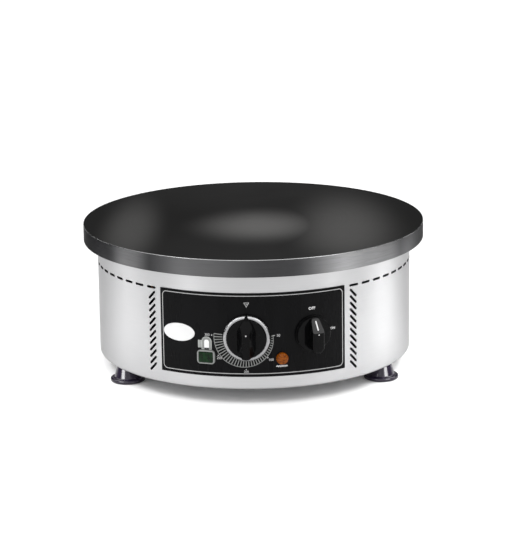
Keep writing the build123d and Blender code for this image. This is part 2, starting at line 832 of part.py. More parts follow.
def make_thermostat_ring():
    """Bright ring pressed on the thermostat knob, open at the pointer."""
    low = thermostat_base_height + ring_gap
    outer = thermostat_ring_diameter / 2
    inner = thermostat_knob_diameter / 2 + ring_gap
    skirt_inner = outer - thermostat_base_inset + ring_gap
    ring = tube(outer, inner, low, low + ring_height) + tube(outer, skirt_inner, ring_skirt_low, low + past)
    top_edges = ring.edges().filter_by(GeomType.CIRCLE).group_by(Axis.Z)[-1]
    ring = fillet(top_edges, ring_height / 3)
    notch = extrude(pointer_notch(ring_gap), low + ring_height + past, dir=(0, 0, 1))
    return ring - notch


def make_selector_knob():
    disc_radius = selector_knob_diameter / 2
    flange = column(selector_base_diameter / 2, 0, selector_base_height)
    disc = column(disc_radius, 0, selector_disc_height)
    disc = chamfer(disc.edges().group_by(Axis.Z)[-1], knob_edge)
    grip = make_grip(
        selector_grip_width, selector_grip_top_width, selector_grip_shoulder, disc_radius,
        selector_disc_height, selector_grip_height, selector_grip_crest, selector_tip_width,
    )
    return flange + disc + grip - shaft_bore(shaft_in_knob)


def knob_place(arc, height):
    """Place of a knob's base, just off the panel."""
    return outward(angle_of(arc), panel_outside + knob_gap, housing_bottom + height)


def body_front_depth():
    """Depth of a control body's front face behind a knob's base."""
    return panel_outside + knob_gap - wall_inside + bracket_standoff + bracket_thickness


def make_shaft():
    """D shaft from the control's socket to the knob's bore, with z = 0 at the knob's base."""
    low = -body_front_depth() - shaft_socket_depth + shaft_end_gap
    high = shaft_in_knob - shaft_end_gap
    shaft = column(shaft_diameter / 2, low, high)
    flat_at = shaft_diameter / 2 - shaft_flat
    cut = slab(shaft_diameter * 2, shaft_diameter * 2, 0, high + past)
    return shaft - Pos(0, flat_at + shaft_diameter, 0) * cut


# ---------------------------------------------------------------- controls behind the wall
def control_place(arc, height):
    """Place on the wall's inside, z pointing out."""
    return outward(angle_of(arc), wall_inside, housing_bottom + height)


def make_bracket(arc, height, width):
    """Flat seat for a control on two legs with tabs spot-welded to the wall."""
    seat_top = -bracket_standoff
    seat_low = seat_top - bracket_thickness
    room = bracket_standoff + bracket_thickness
    seat = slab(width, bracket_height, seat_low, seat_top)
    seat -= column(shaft_diameter / 2 + shaft_seat_clearance, seat_low - past, seat_top + past)
    for side in (-1, 1):
        hole = column(control_screw_diameter / 2 + hole_clearance, seat_low - past, seat_top + past)
        seat -= Pos(side * control_screw_spacing / 2, 0, 0) * hole
    tab_reach = width + 2 * bracket_tab_width
    inner_reach = width - 2 * bracket_thickness
    legs = slab(width, bracket_tab_height, seat_low, room)
    legs -= slab(inner_reach, bracket_height, seat_low - past, room + past)
    tabs = slab(tab_reach, bracket_tab_height, -room, room)
    tabs -= slab(inner_reach, bracket_height, -room - past, room + past)
    place = control_place(arc, height)
    outside = wall_inside - glue_gap
    whole = column(outside, housing_bottom, housing_top)
    skin = tube(outside, outside - bracket_thickness, housing_bottom, housing_top)
    return place * seat + (place * legs & whole) + (place * tabs & skin)


def make_control_body(arc, height, width, tall, depth):
    """Closed case of a control with a blind socket for its shaft."""
    front = -bracket_standoff - bracket_thickness - touch_gap
    case = slab(width, tall, front - depth, front)
    case = chamfer(case.edges().filter_by(Axis.Z), case_edge)
    socket_radius = shaft_diameter / 2 + running_clearance
    case -= column(socket_radius, front - shaft_socket_depth, front + past)
    for side in (-1, 1):
        hole_radius = control_screw_diameter / 2 + running_clearance
        hole = column(hole_radius, front - control_screw_depth, front + past)
        case -= Pos(side * control_screw_spacing / 2, 0, 0) * hole
    return control_place(arc, height) * case


def make_control_screws(arc, height):
    """Two screws through the bracket into the control's case."""
    length = bracket_thickness + control_screw_depth - touch_gap
    screw = Rot(180, 0, 0) * pan_screw(
        control_screw_diameter, length, control_screw_head_diameter, control_screw_head_height)
    place = control_place(arc, height) * Pos(0, 0, -bracket_standoff)
    return [place * Pos(side * control_screw_spacing / 2, 0, 0) * screw for side in (-1, 1)]


def make_blades(arc, height, depth):
    back = -bracket_standoff - bracket_thickness - touch_gap - depth
    blade = slab(blade_width, blade_thickness, back - blade_length, back)
    place = control_place(arc, height)
    return [
        place * Pos(x, y, 0) * blade
        for y in (-blade_spacing / 2, blade_spacing / 2)
        for x in (-blade_spacing / 2, blade_spacing / 2)
    ]


# ---------------------------------------------------------------- pilot lamps
def amber_place():
    return outward(angle_of(amber_lamp_arc), panel_outside, housing_bottom + amber_lamp_height)


def green_place():
    return outward(angle_of(green_lamp_arc), panel_outside, housing_bottom + green_lamp_height)


def wall_depth():
    """Depth of the wall's inside below the panel's face."""
    return panel_outside - wall_inside


def make_amber_lens():
    lens = column(amber_lens_diameter / 2, lens_gap, amber_lens_height)
    top = lens.edges().filter_by(GeomType.CIRCLE).group_by(Axis.Z)[-1]
    return amber_place() * fillet(top, amber_lens_rounding)


def make_amber_body():
    body = column(amber_stem_diameter / 2, -amber_body_length, 0)
    return amber_place() * body


def make_amber_nut():
    high = -wall_depth() - lamp_nut_gap
    return amber_place() * hex_nut(lamp_nut_across, amber_stem_diameter, high - lamp_nut_thickness, high)


def make_green_bezel():
    """Grey rounded frame whose back follows the panel's curve."""
    outline = RectangleRounded(green_bezel_width, green_bezel_height, green_bezel_corner)
    bezel = Pos(0, 0, -past) * extrude(outline, past + green_bezel_depth)
    top = bezel.edges().group_by(Axis.Z)[-1]
    bezel = fillet(top, green_bezel_depth / 3)
    opening_width = green_lens_width + 2 * lens_gap
    opening_height = green_lens_height + 2 * lens_gap
    bezel -= slab(opening_width, opening_height, -2 * past, green_bezel_depth + past)
    behind = column(panel_outside + glue_gap, housing_bottom, housing_top)
    return green_place() * bezel - behind


def make_green_lens():
    lens = slab(green_lens_width, green_lens_height, lens_gap, green_lens_depth)
    top = lens.edges().group_by(Axis.Z)[-1]
    return green_place() * chamfer(top, green_lens_edge)


def make_green_body():
    top = lens_gap - panel_thickness / 2
    return green_place() * slab(green_body_width, green_body_height, -green_body_length, top)


def make_green_clips():
    """Two spring wedges that hold the lamp's body behind the wall."""
    high = -wall_depth() - wedge_gap
    wedge = slab(wedge_width, green_body_height - 2 * wedge_from_edge, high - wedge_depth, high)
    offset = green_body_width / 2 + wedge_width / 2 + touch_gap
    return [green_place() * Pos(side * offset, 0, 0) * wedge for side in (-1, 1)]


def make_lamp_pins(place, length, spacing):
    pin = column(lamp_pin_diameter / 2, -length - lamp_pin_length, -length)
    return [place * Pos(side * spacing / 2, 0, 0) * pin for side in (-1, 1)]


# ---------------------------------------------------------------- feet and base
def make_foot():
    """Rubber foot: wide round flange, tapering stem, recess for the screw's head."""
    flange = column(foot_flange_diameter / 2, 0, foot_flange_thickness)
    flange = fillet(flange.edges().filter_by(GeomType.CIRCLE), foot_edge_radius)
    stem_height = foot_height - foot_flange_thickness / 2
    low_radius = foot_stem_bottom_diameter / 2
    high_radius = foot_stem_top_diameter / 2
    stem = Cone(low_radius, high_radius, stem_height, align=(Align.CENTER, Align.CENTER, Align.MIN))
    foot = flange + Pos(0, 0, foot_flange_thickness / 2) * stem
    foot -= column(foot_counterbore_diameter / 2, -past, foot_counterbore_depth)
    return foot - foot_hole(0, foot_height + past)


def make_feet_and_fixings():
    foot = make_foot()
    for name, angle in foot_places.items():
        save(name, Pos(spot(angle, foot_circle)) * foot)
    washer_low = foot_counterbore_depth - foot_washer_thickness
    washer_hole = foot_screw_diameter / 2 + hole_clearance
    washer = tube(foot_washer_diameter / 2, washer_hole, washer_low, foot_counterbore_depth)
    save("foot_washers", around(foot_angles, foot_circle, washer))
    length = base_top + nut_thickness_m6 + screw_spare_length - washer_low
    screw = pan_screw(foot_screw_diameter, length, foot_screw_head_diameter, foot_screw_head_height)
    save("foot_screws", around(foot_angles, foot_circle, Pos(0, 0, washer_low) * screw))
    nut = hex_nut(nut_across_m6, foot_screw_diameter, base_top, base_top + nut_thickness_m6)
    save("foot_nuts", around(foot_angles, foot_circle, nut))


def make_base():
    """Flat bottom cover, laid on the housing's bottom flange from inside."""
    base = column(wall_radius - bend_radius - base_side_gap, base_bottom, base_top)
    low = base_bottom - past
    high = base_top + past
    vent = Pos(0, 0, low) * extrude(SlotOverall(base_vent_length, base_vent_width), high - low)
    cutters = []
    for number in range(base_vent_count):
        angle = 360.0 / base_vent_count * number
        cutters.append(Pos(spot(angle, base_vent_radius)) * Rot(0, 0, angle + 90) * vent)
    cutters += around(foot_angles, foot_circle, foot_hole(low, high))
    cutters += around(base_screw_angles(), foot_circle, base_screw_hole(low, high))
    return base - cutters


def make_base_screws():
    length = sheet + base_thickness + nut_thickness_m4 + screw_spare_length
    screw = pan_screw(base_screw_diameter, length, base_screw_head_diameter, base_screw_head_height)
    nut = hex_nut(nut_across_m4, base_screw_diameter, base_top, base_top + nut_thickness_m4)
    save("base_screws", around(base_screw_angles(), foot_circle, Pos(0, 0, housing_bottom) * screw))
    save("base_nuts", around(base_screw_angles(), foot_circle, nut))


# ---------------------------------------------------------------- mains inlet and terminals
def gland_place():
    return outward(180, wall_radius, gland_axis_height)


def gland_nose_end():
    """Outer end of the gland's nose, measured from the housing wall."""
    return gland_collar_thickness + gland_cap_length - gland_cap_end


def make_gland():
    """Cable gland in the back wall; its bore takes a rubber seal for the cord."""
    outside_wall = column(wall_radius + glue_gap, housing_bottom, housing_top)
    collar = gland_place() * hexagon(gland_collar_across, -past, gland_collar_thickness) - outside_wall
    stem_low = -sheet - gland_inner_length
    stem = column(gland_thread_diameter / 2, stem_low, gland_collar_thickness / 2)
    nose = column(gland_thread_diameter / 2 - gland_nose_step, 0, gland_nose_end())
    bore = column(gland_bore_diameter / 2, stem_low - past, gland_nose_end() + past)
    return collar + gland_place() * (stem + nose) - gland_place() * bore


def make_gland_cap():
    """Domed cap nut over the gland's nose that squeezes the seal."""
    low = gland_collar_thickness + touch_gap
    high = low + gland_cap_length
    cap = column(gland_collar_across / 2, low, high)
    cap = fillet(cap.edges().filter_by(GeomType.CIRCLE).group_by(Axis.Z)[-1], gland_cap_rounding)
    nose_radius = gland_thread_diameter / 2 - gland_nose_step + running_clearance
    cap -= column(nose_radius, low - past, gland_nose_end() + touch_gap)
    cap -= column(gland_cap_hole_diameter / 2, low, high + past)
    return gland_place() * cap


def make_gland_seal():
    high = gland_nose_end()
    radius = gland_bore_diameter / 2 - running_clearance
    return gland_place() * tube(radius, seal_bore_diameter / 2, high - seal_length, high)


def make_gland_nut():
    """Lock nut on the gland's thread, inside the wall."""
    high = -sheet - gland_nut_gap
    nut = hex_nut(gland_nut_across, gland_thread_diameter, high - gland_nut_thickness, high)
    return gland_place() * nut


def pole_x(number):
    """Pole 0 feeds the lamps' neutral, 1 the live, 2 the heater's neutral and 3 the earth."""
    return (number - (terminal_poles - 1) / 2) * terminal_pole_spacing


def channel_height():
    """Height of the terminal block's wire channels."""
    return base_top + terminal_block_height / 2


def make_terminal_block():
    """Four-pole block for the mains, screwed to the base near the gland."""
    block = slab(terminal_block_width, terminal_block_depth, base_top + touch_gap,
                 base_top + terminal_block_height)
    channel_radius = terminal_channel_diameter / 2
    channel = Rot(90, 0, 0) * column(channel_radius, -terminal_block_depth, terminal_block_depth)
    well_radius = terminal_screw_diameter / 2 + terminal_well_clearance
    well = column(well_radius, channel_height(), base_top + terminal_block_height + past)
    for number in range(terminal_poles):
        block -= Pos(pole_x(number), 0, channel_height()) * channel
        for side in (-1, 1):
            block -= Pos(pole_x(number), side * terminal_screw_spacing / 2, 0) * well
    return Pos(0, terminal_y, 0) * block


def make_terminal_screws():
    """Two clamping screws for each pole."""
    high = base_top + terminal_block_height - terminal_screw_recess
    low = channel_height() + terminal_channel_diameter / 2 + terminal_screw_above_channel
    screw = column(terminal_screw_diameter / 2, low, high)
    screw -= slab(terminal_screw_diameter * 2, driver_slot_width, high - driver_slot_depth, high + past)
    return [
        Pos(pole_x(number), terminal_y + side * terminal_screw_spacing / 2, 0) * screw
        for number in range(terminal_poles)
        for side in (-1, 1)
    ]


def make_earth_stud():
    stud = column(earth_stud_diameter / 2, base_top, base_top + earth_stud_height)
    return Pos(earth_stud_x, earth_y, 0) * stud


def earth_lug_height():
    """Middle of the ring lug that lies between the earth stud's two nuts."""
    return base_top + earth_nut_thickness + 2 * touch_gap + earth_lug_thickness / 2


def make_earth_nuts():
    nut = hex_nut(earth_nut_across, earth_stud_diameter, 0, earth_nut_thickness)
    heights = (base_top + touch_gap, earth_lug_height() + earth_lug_thickness / 2 + touch_gap)
    return [Pos(earth_stud_x, earth_y, height) * nut for height in heights]


def make_earth_lug():
    half = earth_lug_thickness / 2
    hole = earth_stud_diameter / 2 + running_clearance
    lug = tube(earth_lug_diameter / 2, hole, earth_lug_height() - half, earth_lug_height() + half)
    return Pos(earth_stud_x, earth_y, 0) * lug


# ---------------------------------------------------------------- inside wiring
def blade_exit(arc, height, depth, column_side, row_side):
    """Free end of one blade terminal and a point straight behind it."""
    tip = -bracket_standoff - bracket_thickness - 2 * touch_gap - depth - blade_length
    place = control_place(arc, height)
    x = column_side * blade_spacing / 2
    y = row_side * blade_spacing / 2
    return [(place * Pos(x, y, tip - run)).position for run in (0, straight_exit)]


def pin_exit(place, length, spacing, side):
    """Free end of one lamp pin and a point straight behind it."""
    tip = -length - lamp_pin_length - touch_gap
    return [(place * Pos(side * spacing / 2, 0, tip - run)).position for run in (0, straight_exit)]


def pole_exit(number):
    """Where a wire leaves the terminal block towards the front."""
    return Vector(pole_x(number), terminal_y - terminal_block_depth / 2 - touch_gap, channel_height())


def heater_pin_exit(number):
    """Lower end of a heater pin and a point straight below it."""
    end = element_ends()[number]
    low = sheath_bottom - insulator_length - pin_length - touch_gap
    return [Vector(end.X, end.Y, low - run) for run in (0, straight_exit)]


def make_live_wires():
    """Block to switch, switch to thermostat, thermostat to heater, and both lamps' feeds."""
    thermostat = (thermostat_arc, thermostat_height, thermostat_body_depth)
    selector = (selector_arc, selector_height, switch_body_depth)
    switch_in, before_switch = blade_exit(*selector, -1, -1)
    switch_out, after_switch = blade_exit(*selector, -1, 1)
    common, before_common = blade_exit(*thermostat, 1, 1)
    to_heater, after_thermostat = blade_exit(*thermostat, -1, 1)
    to_amber, before_amber_feed = blade_exit(*thermostat, 1, -1)
    to_green, before_green_feed = blade_exit(*thermostat, -1, -1)
    heater_pin, below_pin = heater_pin_exit(1)
    amber_pin, behind_amber = pin_exit(amber_place(), amber_body_length, amber_pin_spacing, 1)
    green_pin, behind_green = pin_exit(green_place(), green_body_length, green_pin_spacing, 1)
    supply = [
        pole_exit(1), Vector(-8, 84, 27), Vector(-2, 46, 25), Vector(8, 4, 26),
        Vector(21, -38, 34), Vector(31, -76, 56), before_switch, switch_in,
    ]
    switched = [switch_out, after_switch, Vector(18, -89, 87), Vector(5, -97, 86), before_common, common]
    heater = [
        to_heater, after_thermostat, Vector(-2, -88, 77), Vector(17, -68, 71),
        Vector(40, -49, 66), Vector(60, -31, 65), below_pin, heater_pin,
    ]
    amber = [to_amber, before_amber_feed, Vector(12, -103, 63), Vector(22, -113, 56), behind_amber, amber_pin]
    green = [to_green, before_green_feed, Vector(-18, -104, 64), Vector(-28, -111, 57), behind_green,
             green_pin]
    wires = [round_wire(wire_diameter, route) for route in (supply, switched, heater)]
    return wires + [round_wire(lamp_wire_diameter, route) for route in (amber, green)]


def make_neutral_wires():
    """Block to the heater's other end, block to the green lamp, and green lamp to amber lamp."""
    heater_pin, below_pin = heater_pin_exit(0)
    green_pin, behind_green = pin_exit(green_place(), green_body_length, green_pin_spacing, -1)
    heater = [
        pole_exit(2), Vector(7, 90, 32), Vector(18, 70, 42), Vector(42, 64, 52),
        Vector(64, 82, 60), Vector(75, 108, 64), below_pin, heater_pin,
    ]
    lamps = [
        pole_exit(0), Vector(-21, 82, 27), Vector(-31, 44, 25), Vector(-35, 2, 26),
        Vector(-41, -42, 28), Vector(-42, -82, 37), Vector(-38, -108, 51), behind_green, green_pin,
    ]
    link_side = lamp_pin_diameter / 2 + touch_gap
    middle = lamp_pin_length / 2
    green_side = green_place() * Pos(-green_pin_spacing / 2, 0, -green_body_length - middle)
    amber_side = amber_place() * Pos(-amber_pin_spacing / 2, 0, -amber_body_length - middle)
    link = [
        (green_side * Pos(0, -link_side, 0)).position,
        (green_side * Pos(0, -link_side - link_exit, 0)).position,
        Vector(-36, -138, 32), Vector(-12, -131, 27), Vector(10, -135, 31),
        (amber_side * Pos(0, -link_side - link_exit, 0)).position,
        (amber_side * Pos(0, -link_side, 0)).position,
    ]
    wires = [round_wire(wire_diameter, heater)]
    return wires + [round_wire(lamp_wire_diameter, route) for route in (lamps, link)]


def make_earth_wire():
    """Block's earth pole to the lug on the earth stud."""
    height = earth_lug_height()
    bend = Vector(50, 104, height)
    stud = Vector(earth_stud_x, earth_y, height)
    toward = (bend - stud).normalized()
    end = stud + toward * (earth_lug_diameter / 2 + touch_gap)
    route = [
        pole_exit(3), Vector(20.5, 97, 28), Vector(27, 88, 27.4), Vector(37, 86, 26.5),
        Vector(45.5, 93, 25.5), bend, end,
    ]
    return round_wire(wire_diameter, route)


def build_all():
    os.makedirs("parts", exist_ok=True)
    save("griddle_plate", make_plate())
    save("heating_element", make_element())
    save("heater_clamp", make_clamp())
    save("insulation_disc", make_insulation())
    save("reflector_tray", make_tray())
    make_stack_fixings()
    make_element_terminals()
    save("probe_bulb", make_bulb())
    save("bulb_clip", make_bulb_clip())
    save("bulb_clip_screws", make_bulb_clip_screws())
    save("housing", make_housing())
    save("control_panel", make_panel())
    save("oval_badge", make_badge())

    thermostat = (thermostat_arc, thermostat_height)
    selector = (selector_arc, selector_height)
    save("thermostat_knob", knob_place(*thermostat) * make_thermostat_knob())
    save("thermostat_knob_ring", knob_place(*thermostat) * make_thermostat_ring())
    save("thermostat_shaft", knob_place(*thermostat) * make_shaft())
    save("selector_knob", knob_place(*selector) * make_selector_knob())
    save("selector_shaft", knob_place(*selector) * make_shaft())
    save("thermostat_bracket", make_bracket(*thermostat, thermostat_bracket_width))
    save("selector_bracket", make_bracket(*selector, switch_bracket_width))
    save("thermostat_body", make_control_body(
        *thermostat, thermostat_body_width, thermostat_body_height, thermostat_body_depth))
    save("selector_switch_body", make_control_body(
        *selector, switch_body_width, switch_body_height, switch_body_depth))
    save("control_screws", make_control_screws(*thermostat) + make_control_screws(*selector))
    save("thermostat_terminals", make_blades(*thermostat, thermostat_body_depth))
    save("selector_terminals", make_blades(*selector, switch_body_depth))

    save("amber_lamp_lens", make_amber_lens())
    save("amber_lamp_body", make_amber_body())
    save("amber_lamp_nut", make_amber_nut())
    save("green_lamp_bezel", make_green_bezel())
    save("green_lamp_lens", make_green_lens())
    save("green_lamp_body", make_green_body())
    save("green_lamp_clips", make_green_clips())
    lamp_pins = make_lamp_pins(amber_place(), amber_body_length, amber_pin_spacing)
    lamp_pins += make_lamp_pins(green_place(), green_body_length, green_pin_spacing)
    save("lamp_pins", lamp_pins)

    make_feet_and_fixings()
    save("base_plate", make_base())
    make_base_screws()
    save("cable_gland", make_gland())
    save("gland_cap", make_gland_cap())
    save("gland_seal", make_gland_seal())
    save("gland_lock_nut", make_gland_nut())
    save("terminal_block", make_terminal_block())
    save("terminal_screws", make_terminal_screws())
    save("earth_stud", make_earth_stud())
    save("earth_nuts", make_earth_nuts())
    save("earth_lug", make_earth_lug())
    save("probe_capillary", make_capillary())
    save("live_wires", make_live_wires())
    save("neutral_wires", make_neutral_wires())
    save("earth_wire", make_earth_wire())


build_all()
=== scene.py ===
import json
import math

import bmesh
import bpy
from mathutils import Matrix, Vector


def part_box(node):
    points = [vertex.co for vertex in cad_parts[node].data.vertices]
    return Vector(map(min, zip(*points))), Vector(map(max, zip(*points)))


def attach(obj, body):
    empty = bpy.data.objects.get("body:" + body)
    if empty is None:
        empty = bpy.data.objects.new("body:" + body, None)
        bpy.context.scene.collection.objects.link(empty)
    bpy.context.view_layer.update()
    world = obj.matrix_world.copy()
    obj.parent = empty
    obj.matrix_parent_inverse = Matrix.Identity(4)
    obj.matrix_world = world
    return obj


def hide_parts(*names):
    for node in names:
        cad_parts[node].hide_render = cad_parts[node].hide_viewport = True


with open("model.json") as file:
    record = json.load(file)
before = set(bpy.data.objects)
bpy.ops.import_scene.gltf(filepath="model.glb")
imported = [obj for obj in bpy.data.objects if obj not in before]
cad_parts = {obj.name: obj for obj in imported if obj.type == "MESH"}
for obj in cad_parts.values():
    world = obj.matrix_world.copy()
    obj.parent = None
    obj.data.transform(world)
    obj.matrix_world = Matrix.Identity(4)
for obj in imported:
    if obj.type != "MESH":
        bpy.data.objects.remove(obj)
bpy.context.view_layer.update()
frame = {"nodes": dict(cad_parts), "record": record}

# Electric crepe maker: a cast plate on a steel drum with a curved control panel. Lengths are in
# millimetres until a mesh is made. Angles are in degrees, counted from the front (-Y) towards +X.
MM = 0.001


def node_box(node):
    """Lowest and highest corner of a CAD node."""
    low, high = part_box(node)
    return Vector(low) / MM, Vector(high) / MM


# ------ sizes read from the frame
plate_high = node_box("griddle_plate")[1]
drum_low, drum_high = node_box("housing")
panel_low, panel_high = node_box("control_panel")
foot_low, foot_high = node_box("foot_left")
badge_low, badge_high = node_box("oval_badge")

plate_radius = plate_high.x
plate_top = plate_high.z
wall_radius = drum_high.x
drum_bottom = drum_low.z
drum_top = drum_high.z
panel_radius = -panel_low.y
panel_bottom = panel_low.z
panel_top = panel_high.z
panel_half = math.asin(panel_high.x / panel_radius) * wall_radius
foot_radius = (foot_high.x - foot_low.x) / 2

# ------ places that the CAD parts share
# Arc length on the drum's wall from the middle of its front, and height above the drum's bottom.
thermostat_spot = (-6.6, 61.4)
selector_spot = (68.5, 62.0)
green_spot = (-52.7, 37.4)
amber_spot = (32.5, 36.2)
badge_spot = (-85.6, 63.3)

gland_height = 27.0
foot_angles = {"foot_back": 180.0, "foot_left": -60.0, "foot_right": 60.0}
foot_circle = wall_radius - 14.0


def angle_of(arc):
    """Angle of a place given by its arc length on the drum's wall."""
    return math.degrees(arc / wall_radius)


def around(angle, radius, height=0.0):
    """Point at an angle from the front, a distance from the centre line and a height."""
    turn = math.radians(angle)
    return Vector((radius * math.sin(turn), -radius * math.cos(turn), height))


def outward(angle, radius, height):
    """Matrix of a place with z out of the drum, x to the right seen from outside, and y up."""
    axes = (around(angle + 90, 1), Vector((0, 0, 1)), around(angle, 1))
    matrix = Matrix(axes).transposed().to_4x4()
    matrix.translation = around(angle, radius, height)
    return matrix


def front_place(spot, radius):
    """Matrix of a spot on the drum's front, facing outward."""
    arc, height = spot
    return outward(angle_of(arc), radius, drum_bottom + height)


def foot_place(angle):
    return Matrix.Translation(around(angle, foot_circle))


gland_place = outward(180, wall_radius, drum_bottom + gland_height)


# ------ outlines
def rounded(corners, steps=6):
    """Closed outline of corners (x, y, radius), each rounded by an arc of that radius."""
    points = []
    for index, (x, y, radius) in enumerate(corners):
        corner = Vector((x, y))
        if radius == 0:
            points.append(corner)
            continue
        before = (Vector(corners[index - 1][:2]) - corner).normalized()
        after = (Vector(corners[(index + 1) % len(corners)][:2]) - corner).normalized()
        half = before.angle(after) / 2
        centre = corner + (before + after).normalized() * radius / math.sin(half)
        first = corner + before * radius / math.tan(half) - centre
        last = corner + after * radius / math.tan(half) - centre
        sweep = math.atan2(first.x * last.y - first.y * last.x, first.dot(last))
        start = math.atan2(first.y, first.x)
        for step in range(steps + 1):
            turn = start + sweep * step / steps
            points.append(centre + Vector((math.cos(turn), math.sin(turn))) * radius)
    return points


def corner_normal(before, after, least):
    """Normal to the left of a corner, drawn out as in a mitre, but to 1 / least at most."""
    way = (before + after).normalized()
    normal = Vector((-way.y, way.x))
    return normal / max(normal.dot(Vector((-before.y, before.x))), least)


def inset(outline, distance):
    """Counter-clockwise outline, moved inward by a distance."""
    result = []
    for index, point in enumerate(outline):
        before = (point - outline[index - 1]).normalized()
        after = (outline[(index + 1) % len(outline)] - point).normalized()
        result.append(point + corner_normal(before, after, 0.5) * distance)
    return result


def oval(width, height, count):
    turns = [2 * math.pi * number / count for number in range(count)]
    return [Vector((width / 2 * math.cos(turn), height / 2 * math.sin(turn))) for turn in turns]


def circle(radius, count=48):
    return oval(2 * radius, 2 * radius, count)


def arch(half, low, high, foot, head, steps):
    """Upright outline, whose corners have one radius at its foot and another at its head."""
    corners = [(-half, low, foot), (half, low, foot), (half, high, head), (-half, high, head)]
    return rounded(corners, steps)


def bar(width, height, corner, steps=6):
    """Rounded rectangle centred on the origin."""
    return arch(width / 2, -height / 2, height / 2, corner, corner, steps)


def slot_outline(length, width):
    """Bar with round ends that stop just short of meeting, so that no side has zero length."""
    return bar(length, width, width / 2 - 0.001, 8)


# ------ meshes
def loft(rings, closed=False):
    """Closed surface through rings that have as many points each."""
    mesh = bmesh.new()
    loops = [[mesh.verts.new(point) for point in ring] for ring in rings]
    pairs = list(zip(loops, loops[1:]))
    if closed:
        pairs.append((loops[-1], loops[0]))
    for lower, upper in pairs:
        for index in range(len(lower)):
            following = (index + 1) % len(lower)
            mesh.faces.new((lower[index], lower[following], upper[following], upper[index]))
    if not closed:
        mesh.faces.new(list(reversed(loops[0])))
        mesh.faces.new(loops[-1])
    return mesh


def level(outline, height):
    return [Vector((point.x, point.y, height)) for point in outline]


def rim(outline, high, edge, steps=4, side=1):
    """Rings that round the upper edge of a block, or of a hole where side is -1."""
    rings = []
    for step in range(steps + 1):
        turn = math.pi / 2 * step / steps
        shift = side * edge * (1 - math.cos(turn))
        rings.append(level(inset(outline, shift), high - edge + edge * math.sin(turn)))
    return rings


def prism(outline, low, high, edge=0.0, steps=4):
    """Closed outline extruded along z, with its upper edge rounded."""
    top = rim(outline, high, edge, steps) if edge else [level(outline, high)]
    return loft([level(outline, low)] + top)


def lathe(profile, segments):
    """Solid of revolution of an outline of (radius, height), closed or from axis to axis."""
    mesh = bmesh.new()
    loops = []
    for number in range(segments):
        turn = 2 * math.pi * number / segments
        cosine = math.cos(turn)
        sine = math.sin(turn)
        loops.append([mesh.verts.new((p.x * cosine, p.x * sine, p.y)) for p in profile])
    on_axis = profile[0].x == 0 and profile[-1].x == 0
    count = len(profile) - 1 if on_axis else len(profile)
    for number, loop in enumerate(loops):
        neighbour = loops[(number + 1) % segments]
        for index in range(count):
            following = (index + 1) % len(profile)
            mesh.faces.new((loop[index], neighbour[index], neighbour[following], loop[following]))
    bmesh.ops.remove_doubles(mesh, verts=mesh.verts, dist=1e-5)
    return mesh


def mesh_data(name, mesh):
    """Blender mesh made of a bmesh, which is freed."""
    data = bpy.data.meshes.new(name)
    mesh.to_mesh(data)
    mesh.free()
    return data


def add_object(name, data):
    obj = bpy.data.objects.new(name, data)
    bpy.context.collection.objects.link(obj)
    return obj


def joined(meshes):
    """One mesh that holds several separate ones."""
    whole = bmesh.new()
    for mesh in meshes:
        data = mesh_data("part", mesh)
        whole.from_mesh(data)
        bpy.data.meshes.remove(data)
    return whole


def moved(mesh, matrix):
    mesh.transform(matrix)
    return mesh


def shifted(mesh, x, y, z=0.0):
    return moved(mesh, Matrix.Translation((x, y, z)))


def face_outward(mesh):
    bmesh.ops.recalc_face_normals(mesh, faces=mesh.faces)


def bevelled(mesh, width, above=25.0, segments=3):
    """Rounds every edge whose faces meet at more than an angle."""
    face_outward(mesh)
    limit = math.radians(above)
    sharp = [edge for edge in mesh.edges if edge.is_manifold and edge.calc_face_angle() > limit]
    bmesh.ops.bevel(
        mesh, geom=sharp, offset=width, segments=segments, profile=0.5, affect="EDGES",
        clamp_overlap=True)
    return mesh


def combined(mesh, other, operation):
    """Boolean of two closed meshes."""
    parts = []
    for part in (mesh, other):
        face_outward(part)
        parts.append(add_object("part", mesh_data("part", part)))
    modifier = parts[0].modifiers.new("cut", "BOOLEAN")
    modifier.operation = operation
    modifier.solver = "EXACT"
    modifier.object = parts[1]
    bpy.context.view_layer.update()
    evaluated = parts[0].evaluated_get(bpy.context.evaluated_depsgraph_get())
    result = bmesh.new()
    result.from_mesh(evaluated.to_mesh())
    evaluated.to_mesh_clear()
    for part in parts:
        data = part.data
        bpy.data.objects.remove(part)
        bpy.data.meshes.remove(data)
    return result


def wrapped(mesh, radius, step=1.5):
    """Bends a flat mesh, with x as arc length, y as height and z as depth, round the drum."""
    reach = max(abs(vert.co.x) for vert in mesh.verts)
    for number in range(-int(reach / step) - 1, int(reach / step) + 2):
        geometry = mesh.verts[:] + mesh.edges[:] + mesh.faces[:]
        bmesh.ops.bisect_plane(
            mesh, geom=geometry, plane_co=(number * step, 0, 0), plane_no=(1, 0, 0))
    for vert in mesh.verts:
        vert.co = around(angle_of(vert.co.x), radius + vert.co.z, vert.co.y)
    return mesh


def add_piece(
        name, mesh, finishes, nodes=(), place=Matrix(), body="cooker", sharp_angle=32.0):
    """Makes a piece of a mesh in millimetres, smooth but for edges that turn by a sharp angle."""
    mesh.transform(place)
    face_outward(mesh)
    for face in mesh.faces:
        face.smooth = True
    for edge in mesh.edges:
        edge.smooth = edge.is_manifold and edge.calc_face_angle() < math.radians(sharp_angle)
    mesh.transform(Matrix.Scale(MM, 4))
    piece = add_object(name, mesh_data(name, mesh))
    for finish in finishes:
        piece.data.materials.append(finish.material)
    normals = piece.modifiers.new("flat faces stay flat", "WEIGHTED_NORMAL")
    normals.keep_sharp = True
    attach(piece, body)
    if nodes:
        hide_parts(*nodes)
    return piece


# ------ shader nodes
noise_middle = (0.3, 0.7)  # range that holds most of a noise's values


